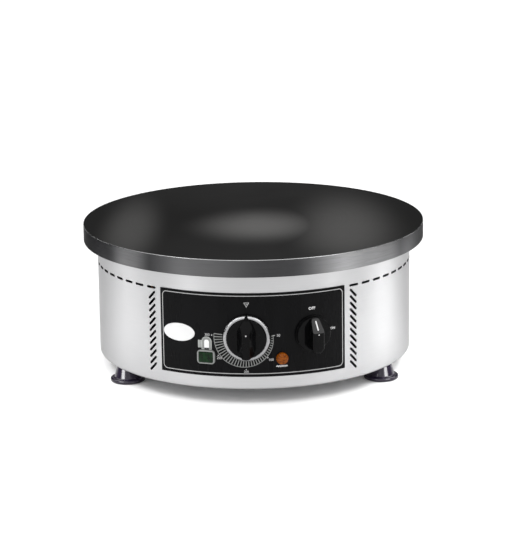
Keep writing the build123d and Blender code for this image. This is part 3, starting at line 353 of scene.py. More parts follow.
def add_node(tree, kind, inputs=(), **settings):
    """Shader node. Each input is a value, or another node's output that gets linked to it."""
    node = tree.nodes.new("ShaderNode" + kind)
    for name, value in settings.items():
        setattr(node, name, value)
    for key, value in dict(inputs).items():
        if isinstance(value, bpy.types.NodeSocket):
            tree.links.new(value, node.inputs[key])
        else:
            node.inputs[key].default_value = value
    return node


def maths(tree, operation, first, second):
    return add_node(tree, "Math", {0: first, 1: second}, operation=operation).outputs["Value"]


def mapped(tree, value, source, target, interpolation="LINEAR"):
    """Value moved from one range (low, high) to another, and held inside it."""
    names = ("Value", "From Min", "From Max", "To Min", "To Max")
    inputs = zip(names, (value, *source, *target))
    return add_node(tree, "MapRange", inputs, interpolation_type=interpolation).outputs["Result"]


def scaled_length(tree, point, scale, offset=(0, 0, 0)):
    """Length of a point's coordinates, each scaled and shifted first."""
    inputs = {0: point, 1: scale, 2: offset}
    vector = add_node(tree, "VectorMath", inputs, operation="MULTIPLY_ADD").outputs["Vector"]
    return add_node(tree, "VectorMath", {0: vector}, operation="LENGTH").outputs["Value"]


class Finish:
    """A Principled material with a few procedural nodes, in the object's own space."""

    def __init__(self, name, colour, roughness, metallic=0.0):
        self.material = bpy.data.materials.new(name)
        self.material.use_nodes = True
        self.tree = self.material.node_tree
        self.shader = self.tree.nodes["Principled BSDF"]
        self.colour = (*colour[:3], 1.0)
        self.roughness = roughness
        self.set("Base Color", self.colour)
        self.set("Roughness", roughness)
        self.set("Metallic", metallic)

    def set(self, name, value):
        self.shader.inputs[name].default_value = value
        return self

    def link(self, output, name):
        self.tree.links.new(output, self.shader.inputs[name])
        return self

    def place(self):
        return add_node(self.tree, "TexCoord").outputs["Object"]

    def noise(self, scale, stretch=(1, 1, 1), detail=3.0):
        """Noise in cycles per metre, squeezed along the axes by the stretch's numbers."""
        mapping = add_node(self.tree, "Mapping", {"Vector": self.place(), "Scale": stretch})
        inputs = {"Vector": mapping.outputs["Vector"], "Scale": scale, "Detail": detail}
        return add_node(self.tree, "TexNoise", inputs).outputs["Fac"]

    def turned(self, scale):
        """Noise that changes only with distance from the z axis, like a lathe tool's grooves."""
        radius = scaled_length(self.tree, self.place(), (1, 1, 0))
        inputs = {"W": radius, "Scale": scale, "Detail": 4.0}
        return add_node(self.tree, "TexNoise", inputs, noise_dimensions="1D").outputs["Fac"]

    def vary_colour(self, value, darker, lighter):
        """Colour that runs between two shares of the base colour."""
        ramp = add_node(self.tree, "ValToRGB", {"Fac": value})
        ends = zip(ramp.color_ramp.elements, noise_middle, (darker, lighter))
        for element, position, share in ends:
            element.position = position
            element.color = (*[min(channel * share, 1.0) for channel in self.colour[:3]], 1.0)
        return self.link(ramp.outputs["Color"], "Base Color")

    def vary_roughness(self, value, amount):
        target = (self.roughness - amount, self.roughness + amount)
        return self.link(mapped(self.tree, value, noise_middle, target), "Roughness")

    def painted_sheen(self, grain, grain_range, sheen_colour, spots):
        """Grained soft oval spots (centre, half sizes, share), in millimetres, of a paler colour: a
        painted sheen.
        """
        tree = self.tree
        place = self.place()
        painted_sheen = None
        for centre, half_sizes, share in spots:
            shrink = [1 / (size * MM) for size in half_sizes]
            shift = [-at / size for at, size in zip(centre, half_sizes)]
            reach = scaled_length(tree, place, shrink, shift)
            spot = mapped(tree, reach, (0.0, 1.0), (share, 0.0), "SMOOTHERSTEP")
            painted_sheen = maths(tree, "MAXIMUM", painted_sheen, spot) if painted_sheen else spot
        grained = maths(tree, "MULTIPLY", painted_sheen, mapped(tree, grain, noise_middle, grain_range))
        inputs = {"Factor": grained, "A": self.colour, "B": (*sheen_colour, 1.0)}
        mix = add_node(tree, "Mix", inputs, data_type="RGBA")
        return self.link(mix.outputs["Result"], "Base Color")

    def bump(self, value, height):
        """Bump whose full height is in millimetres."""
        inputs = {"Height": value, "Distance": height * MM, "Strength": 1.0}
        return self.link(add_node(self.tree, "Bump", inputs).outputs["Normal"], "Normal")

    def brushed(self, amount):
        """Highlights drawn out across grooves that run round the z axis."""
        tangent = add_node(self.tree, "Tangent", direction_type="RADIAL", axis="Z")
        self.link(tangent.outputs["Tangent"], "Tangent")
        self.set("Anisotropic", amount)
        return self.set("Anisotropic Rotation", 0.25)


def grained(
        name, colour, roughness, scale, shades, stretch=(1, 1, 1), detail=3.0, patches=None,
        metallic=0.0, uneven=0.0, bump=0.0, gloss=0.5):
    """Finish with one grain. Patches, where given, scale a separate noise for the shades."""
    finish = Finish(name, colour, roughness, metallic)
    grain = finish.noise(scale, stretch, detail)
    finish.vary_colour(finish.noise(patches) if patches else grain, *shades)
    if uneven:
        finish.vary_roughness(grain, uneven)
    if bump:
        finish.bump(grain, bump)
    return finish.set("Specular IOR Level", gloss)


# ------ materials
spot_depth = 400.0  # half height of a painted sheen spot, far more than the plate's thickness

# Painted sheen spots of the plate's top: x, y, half sizes in x and y, and share of the sheen colour.
top_sheen_spots = [(8, -36, 104, 112, 0.96), (108, -50, 88, 260, 0.64), (-141, -50, 50, 250, 0.52)]

# Painted highlight spots of the plate's side: angle, half size and share of the highlight colour.
side_sheen_spots = [
    (38, 95, 1.0), (68, 75, 0.32), (-44, 42, 0.56), (-18, 90, 0.2), (150, 90, 0.8), (-120, 70, 0.6),
]


def brushed_steel():
    finish = grained(
        "brushed_steel", (0.422, 0.422, 0.427), 0.34, 1.0, (0.97, 1.03), (25, 25, 2600), detail=2.0,
        metallic=1.0, uneven=0.04, bump=0.002)
    return finish.brushed(0.55).set("Specular Tint", (0.65, 0.65, 0.65, 1.0))


def seasoned_iron():
    """Turned cast iron, with a painted sheen: paler in the middle and in two bands beside it."""
    finish = Finish("seasoned_iron", (0.0065, 0.0064, 0.0063), 0.34)
    grooves = finish.turned(500.0)
    spots = []
    for x, y, half_x, half_y, share in top_sheen_spots:
        spots.append(((x, y, plate_top), (half_x, half_y, spot_depth), share))
    # Painted sheen: paler spots in the middle and in two bands beside it, standing in for reflections.
    finish.painted_sheen(grooves, (0.9, 1.08), (0.088, 0.087, 0.085), spots)
    finish.vary_roughness(finish.noise(9.0, detail=6.0), 0.035)
    finish.bump(grooves, 0.012)
    return finish.brushed(0.5).set("Specular IOR Level", 0.15)


def machined_iron():
    """Turned side of the plate, with painted highlights that make it bright in a few places."""
    finish = Finish("machined_iron", (0.055, 0.055, 0.057), 0.55, metallic=1.0)
    grain = finish.noise(1.0, (30, 30, 700))
    side_middle = (drum_top + plate_top) / 2
    spots = []
    for angle, half, share in side_sheen_spots:
        centre = around(angle, plate_radius, side_middle)
        spots.append((centre, (half, half, spot_depth), share))
    # Painted highlights: bright spots round the side, standing in for reflections of lights.
    finish.painted_sheen(grain, (0.8, 1.15), (0.36, 0.36, 0.365), spots)
    finish.vary_roughness(grain, 0.05)
    finish.bump(grain, 0.01)
    return finish.brushed(0.9).set("Specular Tint", (0.4, 0.4, 0.4, 1.0))


# Paler bare metal of the plate's rounded top edge, which also serves as a painted highlight line along
# it.
def bare_highlight_edge():
    return grained(
        "bare_highlight_edge", (0.38, 0.38, 0.385), 0.28, 60.0, (0.8, 1.1), detail=4.0, metallic=1.0, uneven=0.06)


def shaded_cut_edge():
    """Dull dark walls of the punched openings: painted shade inside them."""
    return grained("shaded_cut_edge", (0.012, 0.012, 0.012), 0.6, 400.0, (0.7, 1.3), gloss=0.1)


def printed_panel():
    finish = grained(
        "printed_panel", (0.002, 0.002, 0.0023), 0.28, 1.0, (0.75, 1.35), (60, 60, 12), uneven=0.05,
        gloss=0.06)
    return finish.bump(finish.noise(260.0), 0.006)


def ink(name, red, green, blue):
    return grained("ink_" + name, (red, green, blue), 0.45, 900.0, (0.92, 1.04), uneven=0.05)


def badge_white():
    return grained("badge_white", (0.56, 0.56, 0.56), 0.2, 60.0, (0.98, 1.01)).set("Coat Weight", 0.3)


def knob_black():
    return grained(
        "knob_black", (0.0016, 0.0016, 0.0018), 0.13, 1600.0, (0.85, 1.2), detail=2.0, patches=120.0,
        uneven=0.04, bump=0.004, gloss=0.07)


def ring_silver():
    return grained(
        "ring_silver", (0.27, 0.27, 0.275), 0.26, 500.0, (0.94, 1.04), metallic=1.0, uneven=0.04)


def amber_plastic():
    return grained(
        "amber_plastic", (0.15, 0.036, 0.001), 0.1, 600.0, (0.45, 1.5), detail=1.0, bump=0.03,
        gloss=0.12)


def green_plastic():
    return grained(
        "green_plastic", (0.0015, 0.015, 0.003), 0.12, 1.0, (0.35, 1.5), (260, 260, 120), detail=2.0,
        bump=0.03, gloss=0.12)


def bezel_grey():
    return grained("bezel_grey", (0.17, 0.175, 0.17), 0.2, 700.0, (0.93, 1.06), uneven=0.05)


def foot_rubber():
    return grained(
        "foot_rubber", (0.008, 0.006, 0.012), 0.17, 500.0, (0.8, 1.25), patches=70.0, uneven=0.03,
        bump=0.002, gloss=0.35)


def nylon_black():
    return grained("nylon_black", (0.016, 0.016, 0.017), 0.42, 1200.0, (0.85, 1.2), bump=0.012)


def plain_finish(name, entry):
    """Finish of a part inside or under the drum, from its class in the record."""
    kind = entry["class"]
    roughness = {"brushed_steel": 0.32, "brass": 0.3, "painted_metal": 0.6}.get(kind, 0.55)
    metallic = 1.0 if kind in ("brushed_steel", "brass") else 0.0
    scale, bump = (220.0, 0.4) if kind in ("fabric", "ceramic") else (600.0, 0.008)
    return grained(
        name, entry["base_color"], roughness, scale, (0.82, 1.1), detail=5.0, metallic=metallic,
        uneven=0.06, bump=bump)


# ------ griddle plate
plate_rim = 28.0  # width of the ring under the plate that stands on the drum
plate_thickness = 14.0  # inside that ring
plate_edge = 0.8
plate_rings = (180.0, 120.0, 60.0, 0.0)


def plate_surface(facing):
    """Material number of a face by its normal's z: top and underside, side, or the rounded top edge,
    bare metal that also carries a painted highlight line.
    """
    if facing > 0.95 or facing < -0.6:
        return 0
    return 1 if facing < 0.3 else 2


def make_plate(top, side, edge):
    underside = plate_top - plate_thickness
    recess = plate_radius - plate_rim
    profile = [Vector((0, underside)), Vector((recess, underside))]
    profile += rounded([
        (recess, drum_top, 0), (plate_radius, drum_top, plate_edge),
        (plate_radius, plate_top, plate_edge), (recess, plate_top, 0),
    ], 5)[:-1]
    profile += [Vector((radius, plate_top)) for radius in plate_rings]
    mesh = lathe(profile, 360)
    face_outward(mesh)
    for face in mesh.faces:
        face.material_index = plate_surface(face.normal.z)
    add_piece("griddle_plate_turned", mesh, [top, side, edge], ["griddle_plate"])


# ------ drum
sheet = 1.2
fold_radius = 3.0
top_flange = 16.0
bottom_flange = 27.0
dash_length = 12.8
dash_width = 2.8
dash_count = 50
dash_below_top = 23.8
dash_from_panel = 13.5
slash_length = 13.2
slash_width = 2.9
slash_count = 12
slash_low = 17.3
slash_below_top = 32.7
slash_from_panel = 12.7
slash_tilt = 46.0
shaft_opening = 6.0  # radius, as in the next ones that have one number
amber_opening = 5.4
green_opening = (18.0, 13.0, 0.5)  # width, height and corner's radius
gland_opening = 10.4
foot_screw_hole = 3.4
base_screw_hole = 2.4
base_screw_count = 3
wall_cut = 6.0  # reach of a cutter on each side of the wall
flange_cut = 2.0
wall_tolerance = 0.02


def wall_cutter(outline, place):
    """Cutter of an opening in the wall."""
    return moved(prism(outline, -wall_cut, wall_cut), place)


def vent_cutters():
    """Cutters of the row of dashes and the two columns of slots."""
    cutters = []
    first = angle_of(panel_half + dash_from_panel)
    step = (360 - 2 * first) / (dash_count - 1)
    dash = slot_outline(dash_length, dash_width)
    for number in range(dash_count):
        place = outward(first + step * number, wall_radius, drum_top - dash_below_top)
        cutters.append(wall_cutter(dash, place))
    slash = slot_outline(slash_length, slash_width)
    pitch = (drum_top - drum_bottom - slash_low - slash_below_top) / (slash_count - 1)
    for side in (-1, 1):
        tilt = Matrix.Rotation(math.radians(-side * slash_tilt), 4, "Z")
        arc = side * (panel_half + slash_from_panel)
        for number in range(slash_count):
            place = front_place((arc, slash_low + pitch * number), wall_radius)
            cutters.append(wall_cutter(slash, place @ tilt))
    return cutters


def control_cutters():
    """Cutters of the openings behind the knobs and lamps."""
    openings = [
        (thermostat_spot, circle(shaft_opening)),
        (selector_spot, circle(shaft_opening)),
        (amber_spot, circle(amber_opening)),
        (green_spot, bar(*green_opening)),
    ]
    return [wall_cutter(outline, front_place(spot, wall_radius)) for spot, outline in openings]


def screw_cutters():
    """Cutters of the screw holes in the bottom flange."""
    holes = [(angle, foot_screw_hole) for angle in foot_angles.values()]
    for number in range(base_screw_count):
        holes.append((360 / base_screw_count * number, base_screw_hole))
    cutters = []
    for angle, radius in holes:
        hole = prism(circle(radius, 24), drum_bottom - flange_cut, drum_bottom + flange_cut)
        cutters.append(moved(hole, foot_place(angle)))
    return cutters


def radial_normals(piece):
    """Exact normals on the drum's wall, so that its facets don't show in reflections."""
    mesh = piece.data
    radii = [math.hypot(vert.co.x, vert.co.y) / MM for vert in mesh.vertices]
    walls = {wall_radius: 1, wall_radius - sheet: -1}
    normals = [Vector((0, 0, 0))] * len(mesh.loops)
    for face in mesh.polygons:
        for wall, sign in walls.items():
            if all(abs(radii[index] - wall) < wall_tolerance for index in face.vertices):
                for loop in face.loop_indices:
                    corner = mesh.vertices[mesh.loops[loop].vertex_index].co
                    normals[loop] = Vector((corner.x, corner.y, 0)).normalized() * sign
    mesh.normals_split_custom_set(normals)


def make_drum(steel, cut):
    inside = wall_radius - sheet
    inner_fold = fold_radius - sheet
    profile = rounded([
        (wall_radius - bottom_flange, drum_bottom, 0), (wall_radius, drum_bottom, fold_radius),
        (wall_radius, drum_top, fold_radius), (wall_radius - top_flange, drum_top, 0),
        (wall_radius - top_flange, drum_top - sheet, 0), (inside, drum_top - sheet, inner_fold),
        (inside, drum_bottom + sheet, inner_fold),
        (wall_radius - bottom_flange, drum_bottom + sheet, 0),
    ], 6)
    gland = wall_cutter(circle(gland_opening), gland_place)
    cutters = joined(vent_cutters() + control_cutters() + screw_cutters() + [gland])
    mesh = combined(lathe(profile, 720), cutters, "DIFFERENCE")
    # Walls of the openings get the near-black finish: painted shade in the openings.
    for face in mesh.faces:
        centre = face.calc_center_median()
        on_wall = drum_bottom + fold_radius < centre.z < drum_top - fold_radius
        out = Vector((centre.x, centre.y, 0)).normalized()
        if on_wall and abs(face.normal.dot(out)) < 0.5:
            face.material_index = 1
    piece = add_piece("drum_housing", mesh, [steel, cut], ["housing"])
    piece.modifiers.clear()
    radial_normals(piece)


# ------ control panel and its print
glue_gap = 0.05
panel_corner = 0.6
panel_edge = 0.25
border_width = 0.8
border_inset = 2.8
border_inset_low = 3.4
border_corner = 5.0
ink_depth = 0.04
ink_gap = 0.01


def print_place(spot, right=0.0, up=0.0):
    """Matrix that moves a flat print to a place beside a spot on the unrolled panel."""
    arc, height = spot
    return Matrix.Translation((arc + right, drum_bottom + height + up, 0))


def ribbon(points, width, closed=False):
    """Flat printed line of an even width along points."""
    points = [Vector(point) for point in points]
    count = len(points)
    rings = []
    for index, point in enumerate(points):
        ways = []
        if index or closed:
            ways.append((point - points[index - 1]).normalized())
        if index < count - 1 or closed:
            ways.append((points[(index + 1) % count] - point).normalized())
        side = corner_normal(ways[0], ways[-1], 0.4) * width / 2
        left = point + side
        right = point - side
        rings.append([
            (left.x, left.y, 0), (right.x, right.y, 0), (right.x, right.y, ink_depth),
            (left.x, left.y, ink_depth),
        ])
    return loft(rings, closed=closed)


def printed(outline, low=0.0, thickness=1.0):
    """Flat print of an outline, whose lower face and thickness are counted in layers of ink."""
    return prism(outline, low * ink_depth, (low + thickness) * ink_depth)


def dot(x, y, radius):
    return shifted(printed(circle(radius, 20)), x, y)


def lettering(text, size, x, y):
    """Plain printed characters, centred on a point."""
    curve = bpy.data.curves.new("lettering", "FONT")
    curve.body = text
    curve.size = size
    curve.align_x = "CENTER"
    curve.align_y = "CENTER"
    curve.extrude = ink_depth / 2
    curve.offset = size * 0.012
    curve.resolution_u = 3
    writing = add_object("lettering", curve)
    data = bpy.data.meshes.new_from_object(writing)
    mesh = bmesh.new()
    mesh.from_mesh(data)
    bpy.data.objects.remove(writing)
    bpy.data.curves.remove(curve)
    bpy.data.meshes.remove(data)
    bmesh.ops.remove_doubles(mesh, verts=mesh.verts, dist=1e-4)
    return shifted(mesh, x, y, ink_depth / 2)


def add_print(name, place, marks, material):
    """Lays flat printed marks, moved to a place on the unrolled panel, round the panel."""
    mesh = wrapped(moved(joined(marks), place), panel_radius + ink_gap)
    add_piece(name, mesh, [material], sharp_angle=20.0)


def make_panel(black):
    """Curved black sheet."""
    thickness = panel_radius - wall_radius - glue_gap
    outline = bar(2 * panel_half, panel_top - panel_bottom, panel_corner, 2)
    mesh = shifted(prism(outline, -thickness, 0, panel_edge, 2), 0, (panel_bottom + panel_top) / 2)
    mesh = wrapped(mesh, panel_radius, 1.2)
    mesh = combined(mesh, joined(control_cutters()), "DIFFERENCE")
    add_piece("control_panel_sheet", mesh, [black], ["control_panel"])


def make_border(white):
    half = panel_half - border_inset - border_width / 2
    low = panel_bottom + border_inset_low + border_width / 2
    high = panel_top - border_inset - border_width / 2
    line = arch(half, low, high, border_corner, border_corner, 8)
    add_print("panel_border", Matrix(), [ribbon(line, border_width, closed=True)], white)


# ------ temperature dial
# Lines run clockwise from 3 o'clock to 9 o'clock and grow with the temperature.
dial_marks = 35
dial_first = 88.0
dial_last = 275.6
dial_full = 225.0  # angle from which the lines stay at their full length
dial_inner = 27.4
dial_outer_first = 29.4
dial_outer_full = 37.0
dial_line = 1.0
dial_rim = 0.7

# Text, size and place of the labels, then place and radius of the dots beside them.
dial_labels = [
    ("50", 4.0, 35.4, 1.3), ("100", 4.0, 26.9, -26.6), ("200", 3.6, -0.9, -40.0),
    ("250", 4.0, -31.2, -24.7), ("300", 4.0, -44.8, 1.7),
]
dial_dots = [(23.2, -24.0, 0.7), (-1.0, -37.3, 0.6), (-32.3, -21.6, 0.7), (-39.5, 1.6, 0.8)]
label_line = [(28.9, 1.5), (31.4, 1.5)]
label_line_width = 0.8
index_triangle = [(-2.7, 39.9), (2.7, 39.9), (0, 35.1)]
index_line = 0.6
index_dot = (0, 38.3, 0.55)
switch_labels = [("OFF", 4.6, -0.8, 28.9), ("ON", 3.91, 24.6, 2.8)]


def dial_point(angle, radius):
    """Point at an angle counted clockwise from the top."""
    turn = math.radians(angle)
    return Vector((math.sin(turn), math.cos(turn))) * radius


def dial_edge(angle):
    """Point on the outer line, which moves outward along the scale."""
    share = min((angle - dial_first) / (dial_full - dial_first), 1.0)
    return dial_point(angle, dial_outer_first + (dial_outer_full - dial_outer_first) * share)


def make_dial(grey, dim):
    place = print_place(thermostat_spot)
    step = (dial_last - dial_first) / (dial_marks - 1)
    lines = []
    edge = []
    for number in range(dial_marks):
        angle = dial_first + step * number
        lines.append(ribbon([dial_point(angle, dial_inner), dial_edge(angle)], dial_line))
        edge += [dial_edge(angle), dial_edge(angle + step / 2)]
    lines.append(ribbon(edge[:-1], dial_rim))
    add_print("dial_scale", place, lines, dim)

    marks = [ribbon(label_line, label_line_width)]
    marks += [lettering(*label) for label in dial_labels]
    marks += [dot(*spot) for spot in dial_dots]
    add_print("dial_labels", place, marks, grey)

    triangle = ribbon(index_triangle, index_line, closed=True)
    add_print("dial_index", place, [triangle, dot(*index_dot)], grey)


def make_switch_print(white):
    place = print_place(selector_spot)
    add_print("switch_labels", place, [lettering(*label) for label in switch_labels], white)


# ------ symbols and badge
symbol_shift = 0.5  # the bulb stands this far right of the lamp's middle
symbol_height = 8.3  # and its foot this far above it
bulb_dome = (5.9, 0, 15.2, 0, 5.7)  # half width, low, high, rounding of foot and of head
bulb_core = (2.8, 2.2, 11.6, 0.5, 2.7)
bulb_line = 0.9
bulb_neck = (5.2, 2.2, 0.2, 2)  # width, height, rounding and its steps
neck_height = 1.1
side_bar = (2.2, 8.8, 0.4, 3)
bar_places = [(-9.0, 6.3), (-6.4, 6.3)]
zigzag_waves = 6
zigzag_width = 13.0
zigzag_rise = 0.8
zigzag_line = 0.6
zigzag_drop = 9.2
badge_width = 39.0
badge_dome = [(0.0, 0.3), (0.25, 0.48), (0.8, 0.56), (3.0, 0.6)]  # inset and height


def make_lamp_symbols(white, dim, pale, dark):
    """Bulb above the power lamp, zigzag heater line below the amber lamp."""
    place = print_place(green_spot, symbol_shift, symbol_height)
    dome = arch(*bulb_dome, 12)
    add_print("power_symbol_fill", place, [printed(inset(dome, bulb_line))], dim)
    lines = [ribbon(inset(dome, bulb_line / 2), bulb_line, closed=True)]
    lines += [shifted(printed(bar(*side_bar)), x, y) for x, y in bar_places]
    add_print("power_symbol_outline", place, lines, pale)
    add_print("power_symbol_core", place, [printed(arch(*bulb_core, 8), low=1)], white)
    neck = printed(bar(*bulb_neck), low=1, thickness=0.5)
    add_print("power_symbol_neck", place, [shifted(neck, 0, neck_height)], dark)

    zigzag = []
    for number in range(2 * zigzag_waves + 1):
        x = -zigzag_width / 2 + zigzag_width * number / (2 * zigzag_waves)
        zigzag.append((x, zigzag_rise if number % 2 else -zigzag_rise))
    below = print_place(amber_spot, up=-zigzag_drop)
    add_print("heating_symbol", below, [ribbon(zigzag, zigzag_line)], white)


def make_badge(white):
    """Bare oval badge with a low dome."""
    outline = oval(badge_width, badge_high.z - badge_low.z, 96)
    rings = [level(outline, 0)]
    rings += [level(inset(outline, distance), height) for distance, height in badge_dome]
    mesh = wrapped(moved(loft(rings), print_place(badge_spot)), panel_radius + glue_gap)
    add_piece("oval_badge_blank", mesh, [white], ["oval_badge"], sharp_angle=50)


# ------ knobs
knob_gap = 0.7  # between the panel and a knob
knob_edge = 1.0  # of the disc, beyond the grip's ends
bore_radius = 3.05
bore_depth = 11.0
ring_radius = 26.5
ring_low = 0.3
ring_seat = 1.7
ring_top = 5.5
ring_gap = 0.1
notch_tip = 1.2
notch_root = 1.0
line_share = 0.56  # length of the switch's white line, as a share of the slope's
line_middle = 0.45  # share of the way down the slope
line_width = 1.4
line_proud = 0.06
# The white spots on the grips are painted glints at their crests.
glint_proud = 0.05
print_sunk = 0.15


class TemperatureKnob:
    place = front_place(thermostat_spot, panel_radius + knob_gap)
    flange_radius = 25.0
    flange_height = 1.6
    disc_radius = 22.3
    disc_top = 6.6
    grip_width = 21.0
    grip_top_width = 8.0
    grip_height = 18.0
    crest = 8.5  # distance of the grip's highest edge from the shaft
    tip_width = 7.4
    corner = 2.0


class SwitchKnob:
    place = front_place(selector_spot, panel_radius + knob_gap)
    flange_radius = 21.2
    flange_height = 1.2
    disc_radius = 20.0
    disc_top = 4.5
    grip_width = 14.2
    grip_rounding = 2.2
    grip_height = 18.5
    crest = 4.5
    tip_width = 8.6
    corner = 3.0


def grip_outline(knob):
    """Bar with a round lower end that narrows from the crest to the tip."""
    half = knob.grip_width / 2
    tip = knob.tip_width / 2
    reach = knob.disc_radius - knob_edge
    return rounded([
        (half, -reach, half - 0.01), (half, knob.crest, knob.corner), (tip, reach, knob.corner),
        (-tip, reach, knob.corner), (-half, knob.crest, knob.corner), (-half, -reach, half - 0.01),
    ], 10)


def fall_of(knob):
    """Way from the grip's crest to just beyond the disc's edge: along the face, and in depth."""
    return Vector((knob.disc_radius + 1 - knob.crest, knob.disc_top - knob.grip_height))


def sloped(mesh, knob):
    """Cuts a grip down from its crest to just beyond the disc's edge."""
    face_outward(mesh)
    fall = fall_of(knob)
    geometry = mesh.verts[:] + mesh.edges[:] + mesh.faces[:]
    cut = bmesh.ops.bisect_plane(
        mesh, geom=geometry, plane_co=(0, knob.crest, knob.grip_height),
        plane_no=Vector((0, -fall.y, fall.x)).normalized(), clear_outer=True)
    opened = [item for item in cut["geom_cut"] if isinstance(item, bmesh.types.BMEdge)]
    bmesh.ops.contextual_create(mesh, geom=opened)
    return mesh


def knob_moulding(knob, parts):
    """Disc on a flange, with parts joined to it and a bore for the shaft."""
    mesh = lathe(rounded([
        (0, 0, 0), (knob.flange_radius, 0, 0.2), (knob.flange_radius, knob.flange_height, 0.3),
        (knob.disc_radius, knob.flange_height, 0.2), (knob.disc_radius, knob.disc_top, 1.2),
        (0, knob.disc_top, 0),
    ], 6), 144)
    for part in parts:
        mesh = combined(mesh, part, "UNION")
    return combined(mesh, prism(circle(bore_radius), -1, bore_depth), "DIFFERENCE")


def crest_glint(knob, radius, count, below_crest):
    """Painted glint: a white spot let into the face of the grip, just below its crest."""
    spot = prism(
        circle(radius, count), knob.grip_height - print_sunk, knob.grip_height + glint_proud)
    return shifted(spot, 0, knob.crest - below_crest)


def wide_grip(knob):
    """Grip with wide sloping flanks."""
    half = knob.grip_width / 2
    low = knob.disc_top / 2
    reach = knob.disc_radius + 1
    flank = [
        (half + 1, low - 1), (half + 1, knob.disc_top), (half, knob.disc_top),
        (knob.grip_top_width / 2, knob.grip_height),
    ]
    flanks = [Vector(point) for point in flank] + [Vector((-x, y)) for x, y in reversed(flank)]
    wedge = moved(prism(flanks, -reach, reach), Matrix.Rotation(math.pi / 2, 4, "X"))
    mesh = combined(prism(grip_outline(knob), low, knob.grip_height), wedge, "INTERSECT")
    return bevelled(sloped(mesh, knob), 0.8, above=28.0)


def notch_outline(knob, clearance):
    """Pointer at the top of the temperature knob, which its ring has a notch for."""
    half = knob.tip_width / 2 + clearance
    tip = notch_tip / 2 + clearance
    root = knob.disc_radius - notch_root
    corners = [(-half, root), (half, root), (tip, ring_radius), (-tip, ring_radius)]
    return [Vector(corner) for corner in corners]


def make_thermostat_knob(black, silver, white):
    """Temperature knob with its trim ring. Returns the ring's object."""
    knob = TemperatureKnob
    body = "thermostat_control"
    pointer = prism(notch_outline(knob, 0), knob.flange_height / 2, ring_top - ring_gap)
    mesh = knob_moulding(knob, [wide_grip(knob), bevelled(pointer, 0.2, segments=2)])
    add_piece(
        "thermostat_knob_moulding", mesh, [black], ["thermostat_knob"], knob.place,
        body)

    inner = knob.disc_radius + ring_gap
    skirt = knob.flange_radius + ring_gap
    profile = rounded([
        (skirt, ring_low, 0.2), (ring_radius, ring_low, 0.4), (ring_radius, ring_top, 3.0),
        (inner, ring_top, 0.7), (inner, ring_seat, 0.2), (skirt, ring_seat, 0.1),
    ], 8)
    notch = prism(notch_outline(knob, ring_gap), ring_low - 1, ring_top + 1)
    trim = combined(lathe(profile, 216), notch, "DIFFERENCE")
    ring = add_piece(
        "thermostat_knob_trim", trim, [silver], ["thermostat_knob_ring"],
        knob.place, body)

    # White spot near the crest: a painted glint.
    spot = crest_glint(knob, 0.7, 24, 1.7)
    add_piece("thermostat_crest_glint", spot, [white], (), knob.place, body)
    return ring


def make_selector_knob(black, white):
    """Heat switch knob, whose grip has upright flanks and a rounded face."""
    knob = SwitchKnob
    body = "selector_control"
    grip = prism(grip_outline(knob), knob.disc_top / 2, knob.grip_height, knob.grip_rounding, 6)
    mesh = knob_moulding(knob, [bevelled(sloped(grip, knob), 0.6, above=28.0)])
    add_piece(
        "selector_knob_moulding", mesh, [black], ["selector_knob"], knob.place, body)

    fall = fall_of(knob)
    middle = fall * line_middle
    line = prism(bar(fall.length * line_share, line_width, 0.6, 4), -print_sunk, line_proud)
    on_slope = (
        Matrix.Translation((0, knob.crest + middle.x, knob.grip_height + middle.y))
        @ Matrix.Rotation(math.atan2(fall.y, fall.x), 4, "X")
        @ Matrix.Rotation(math.pi / 2, 4, "Z"))
    # The white line is print; the spot near the crest is a painted glint.
    marks = joined([moved(line, on_slope), crest_glint(knob, 0.65, 20, 1.6)])
    add_piece("selector_pointer_line_and_glint", marks, [white], (), knob.place, body)


# ------ pilot lamps
amber_radius = 6.9
amber_depth = 6.0
amber_rounding = 3.6
lens_gap = 0.1  # between the panel and a lens
bezel = (20.8, 15.8, 3.8)  # width, height and corner's radius
bezel_depth = 2.6
bezel_edge = 0.8
bezel_sunk = 0.5
window = (16.4, 12.0, 1.0)
green_lens = (16.2, 11.8, 0.9)
green_lens_depth = 3.4
green_lens_edge = 0.6


def make_amber_lamp(amber):
    profile = rounded([
        (0, lens_gap, 0), (amber_radius, lens_gap, 0.2),
        (amber_radius, amber_depth, amber_rounding), (0, amber_depth, 0),
    ], 12)
    place = front_place(amber_spot, panel_radius)
    add_piece(
        "amber_lamp_dome", lathe(profile, 96), [amber], ["amber_lamp_lens"],
        place)


def make_green_lamp(grey, green):
    place = front_place(green_spot, panel_radius)
    outer = bar(*bezel, 8)
    inner = bar(*window, 8)
    rings = [level(outer, -bezel_sunk)]
    rings += rim(outer, bezel_depth, bezel_edge)
    rings += reversed(rim(inner, bezel_depth, bezel_edge, side=-1))
    rings.append(level(inner, -bezel_sunk))
    add_piece(
        "green_lamp_frame", loft(rings, closed=True), [grey], ["green_lamp_bezel"],
        place)
    lens = prism(bar(*green_lens), lens_gap, green_lens_depth, green_lens_edge)
    add_piece("green_lamp_window", lens, [green], ["green_lamp_lens"], place)


# ------ feet
foot_lip = 4.6
foot_shoulder = 15.6
foot_waist = 12.0
foot_bore = 3.4
foot_recess = 7.5
foot_recess_depth = 8.0


def make_feet(rubber):
    """The three feet. Returns their objects."""
    profile = rounded([
        (foot_recess, 0, 0.3), (foot_radius, 0, 1.6), (foot_radius, foot_lip, 1.9),
        (foot_shoulder, foot_lip - 0.3, 1.6), (foot_waist, drum_bottom, 0.4),
        (foot_bore, drum_bottom, 0), (foot_bore, foot_recess_depth, 0),
        (foot_recess, foot_recess_depth, 0),
    ], 8)
    return [
        add_piece(
            f"{name}_rubber", lathe(profile, 96), [rubber], [name],
            foot_place(angle))
        for name, angle in foot_angles.items()
    ]


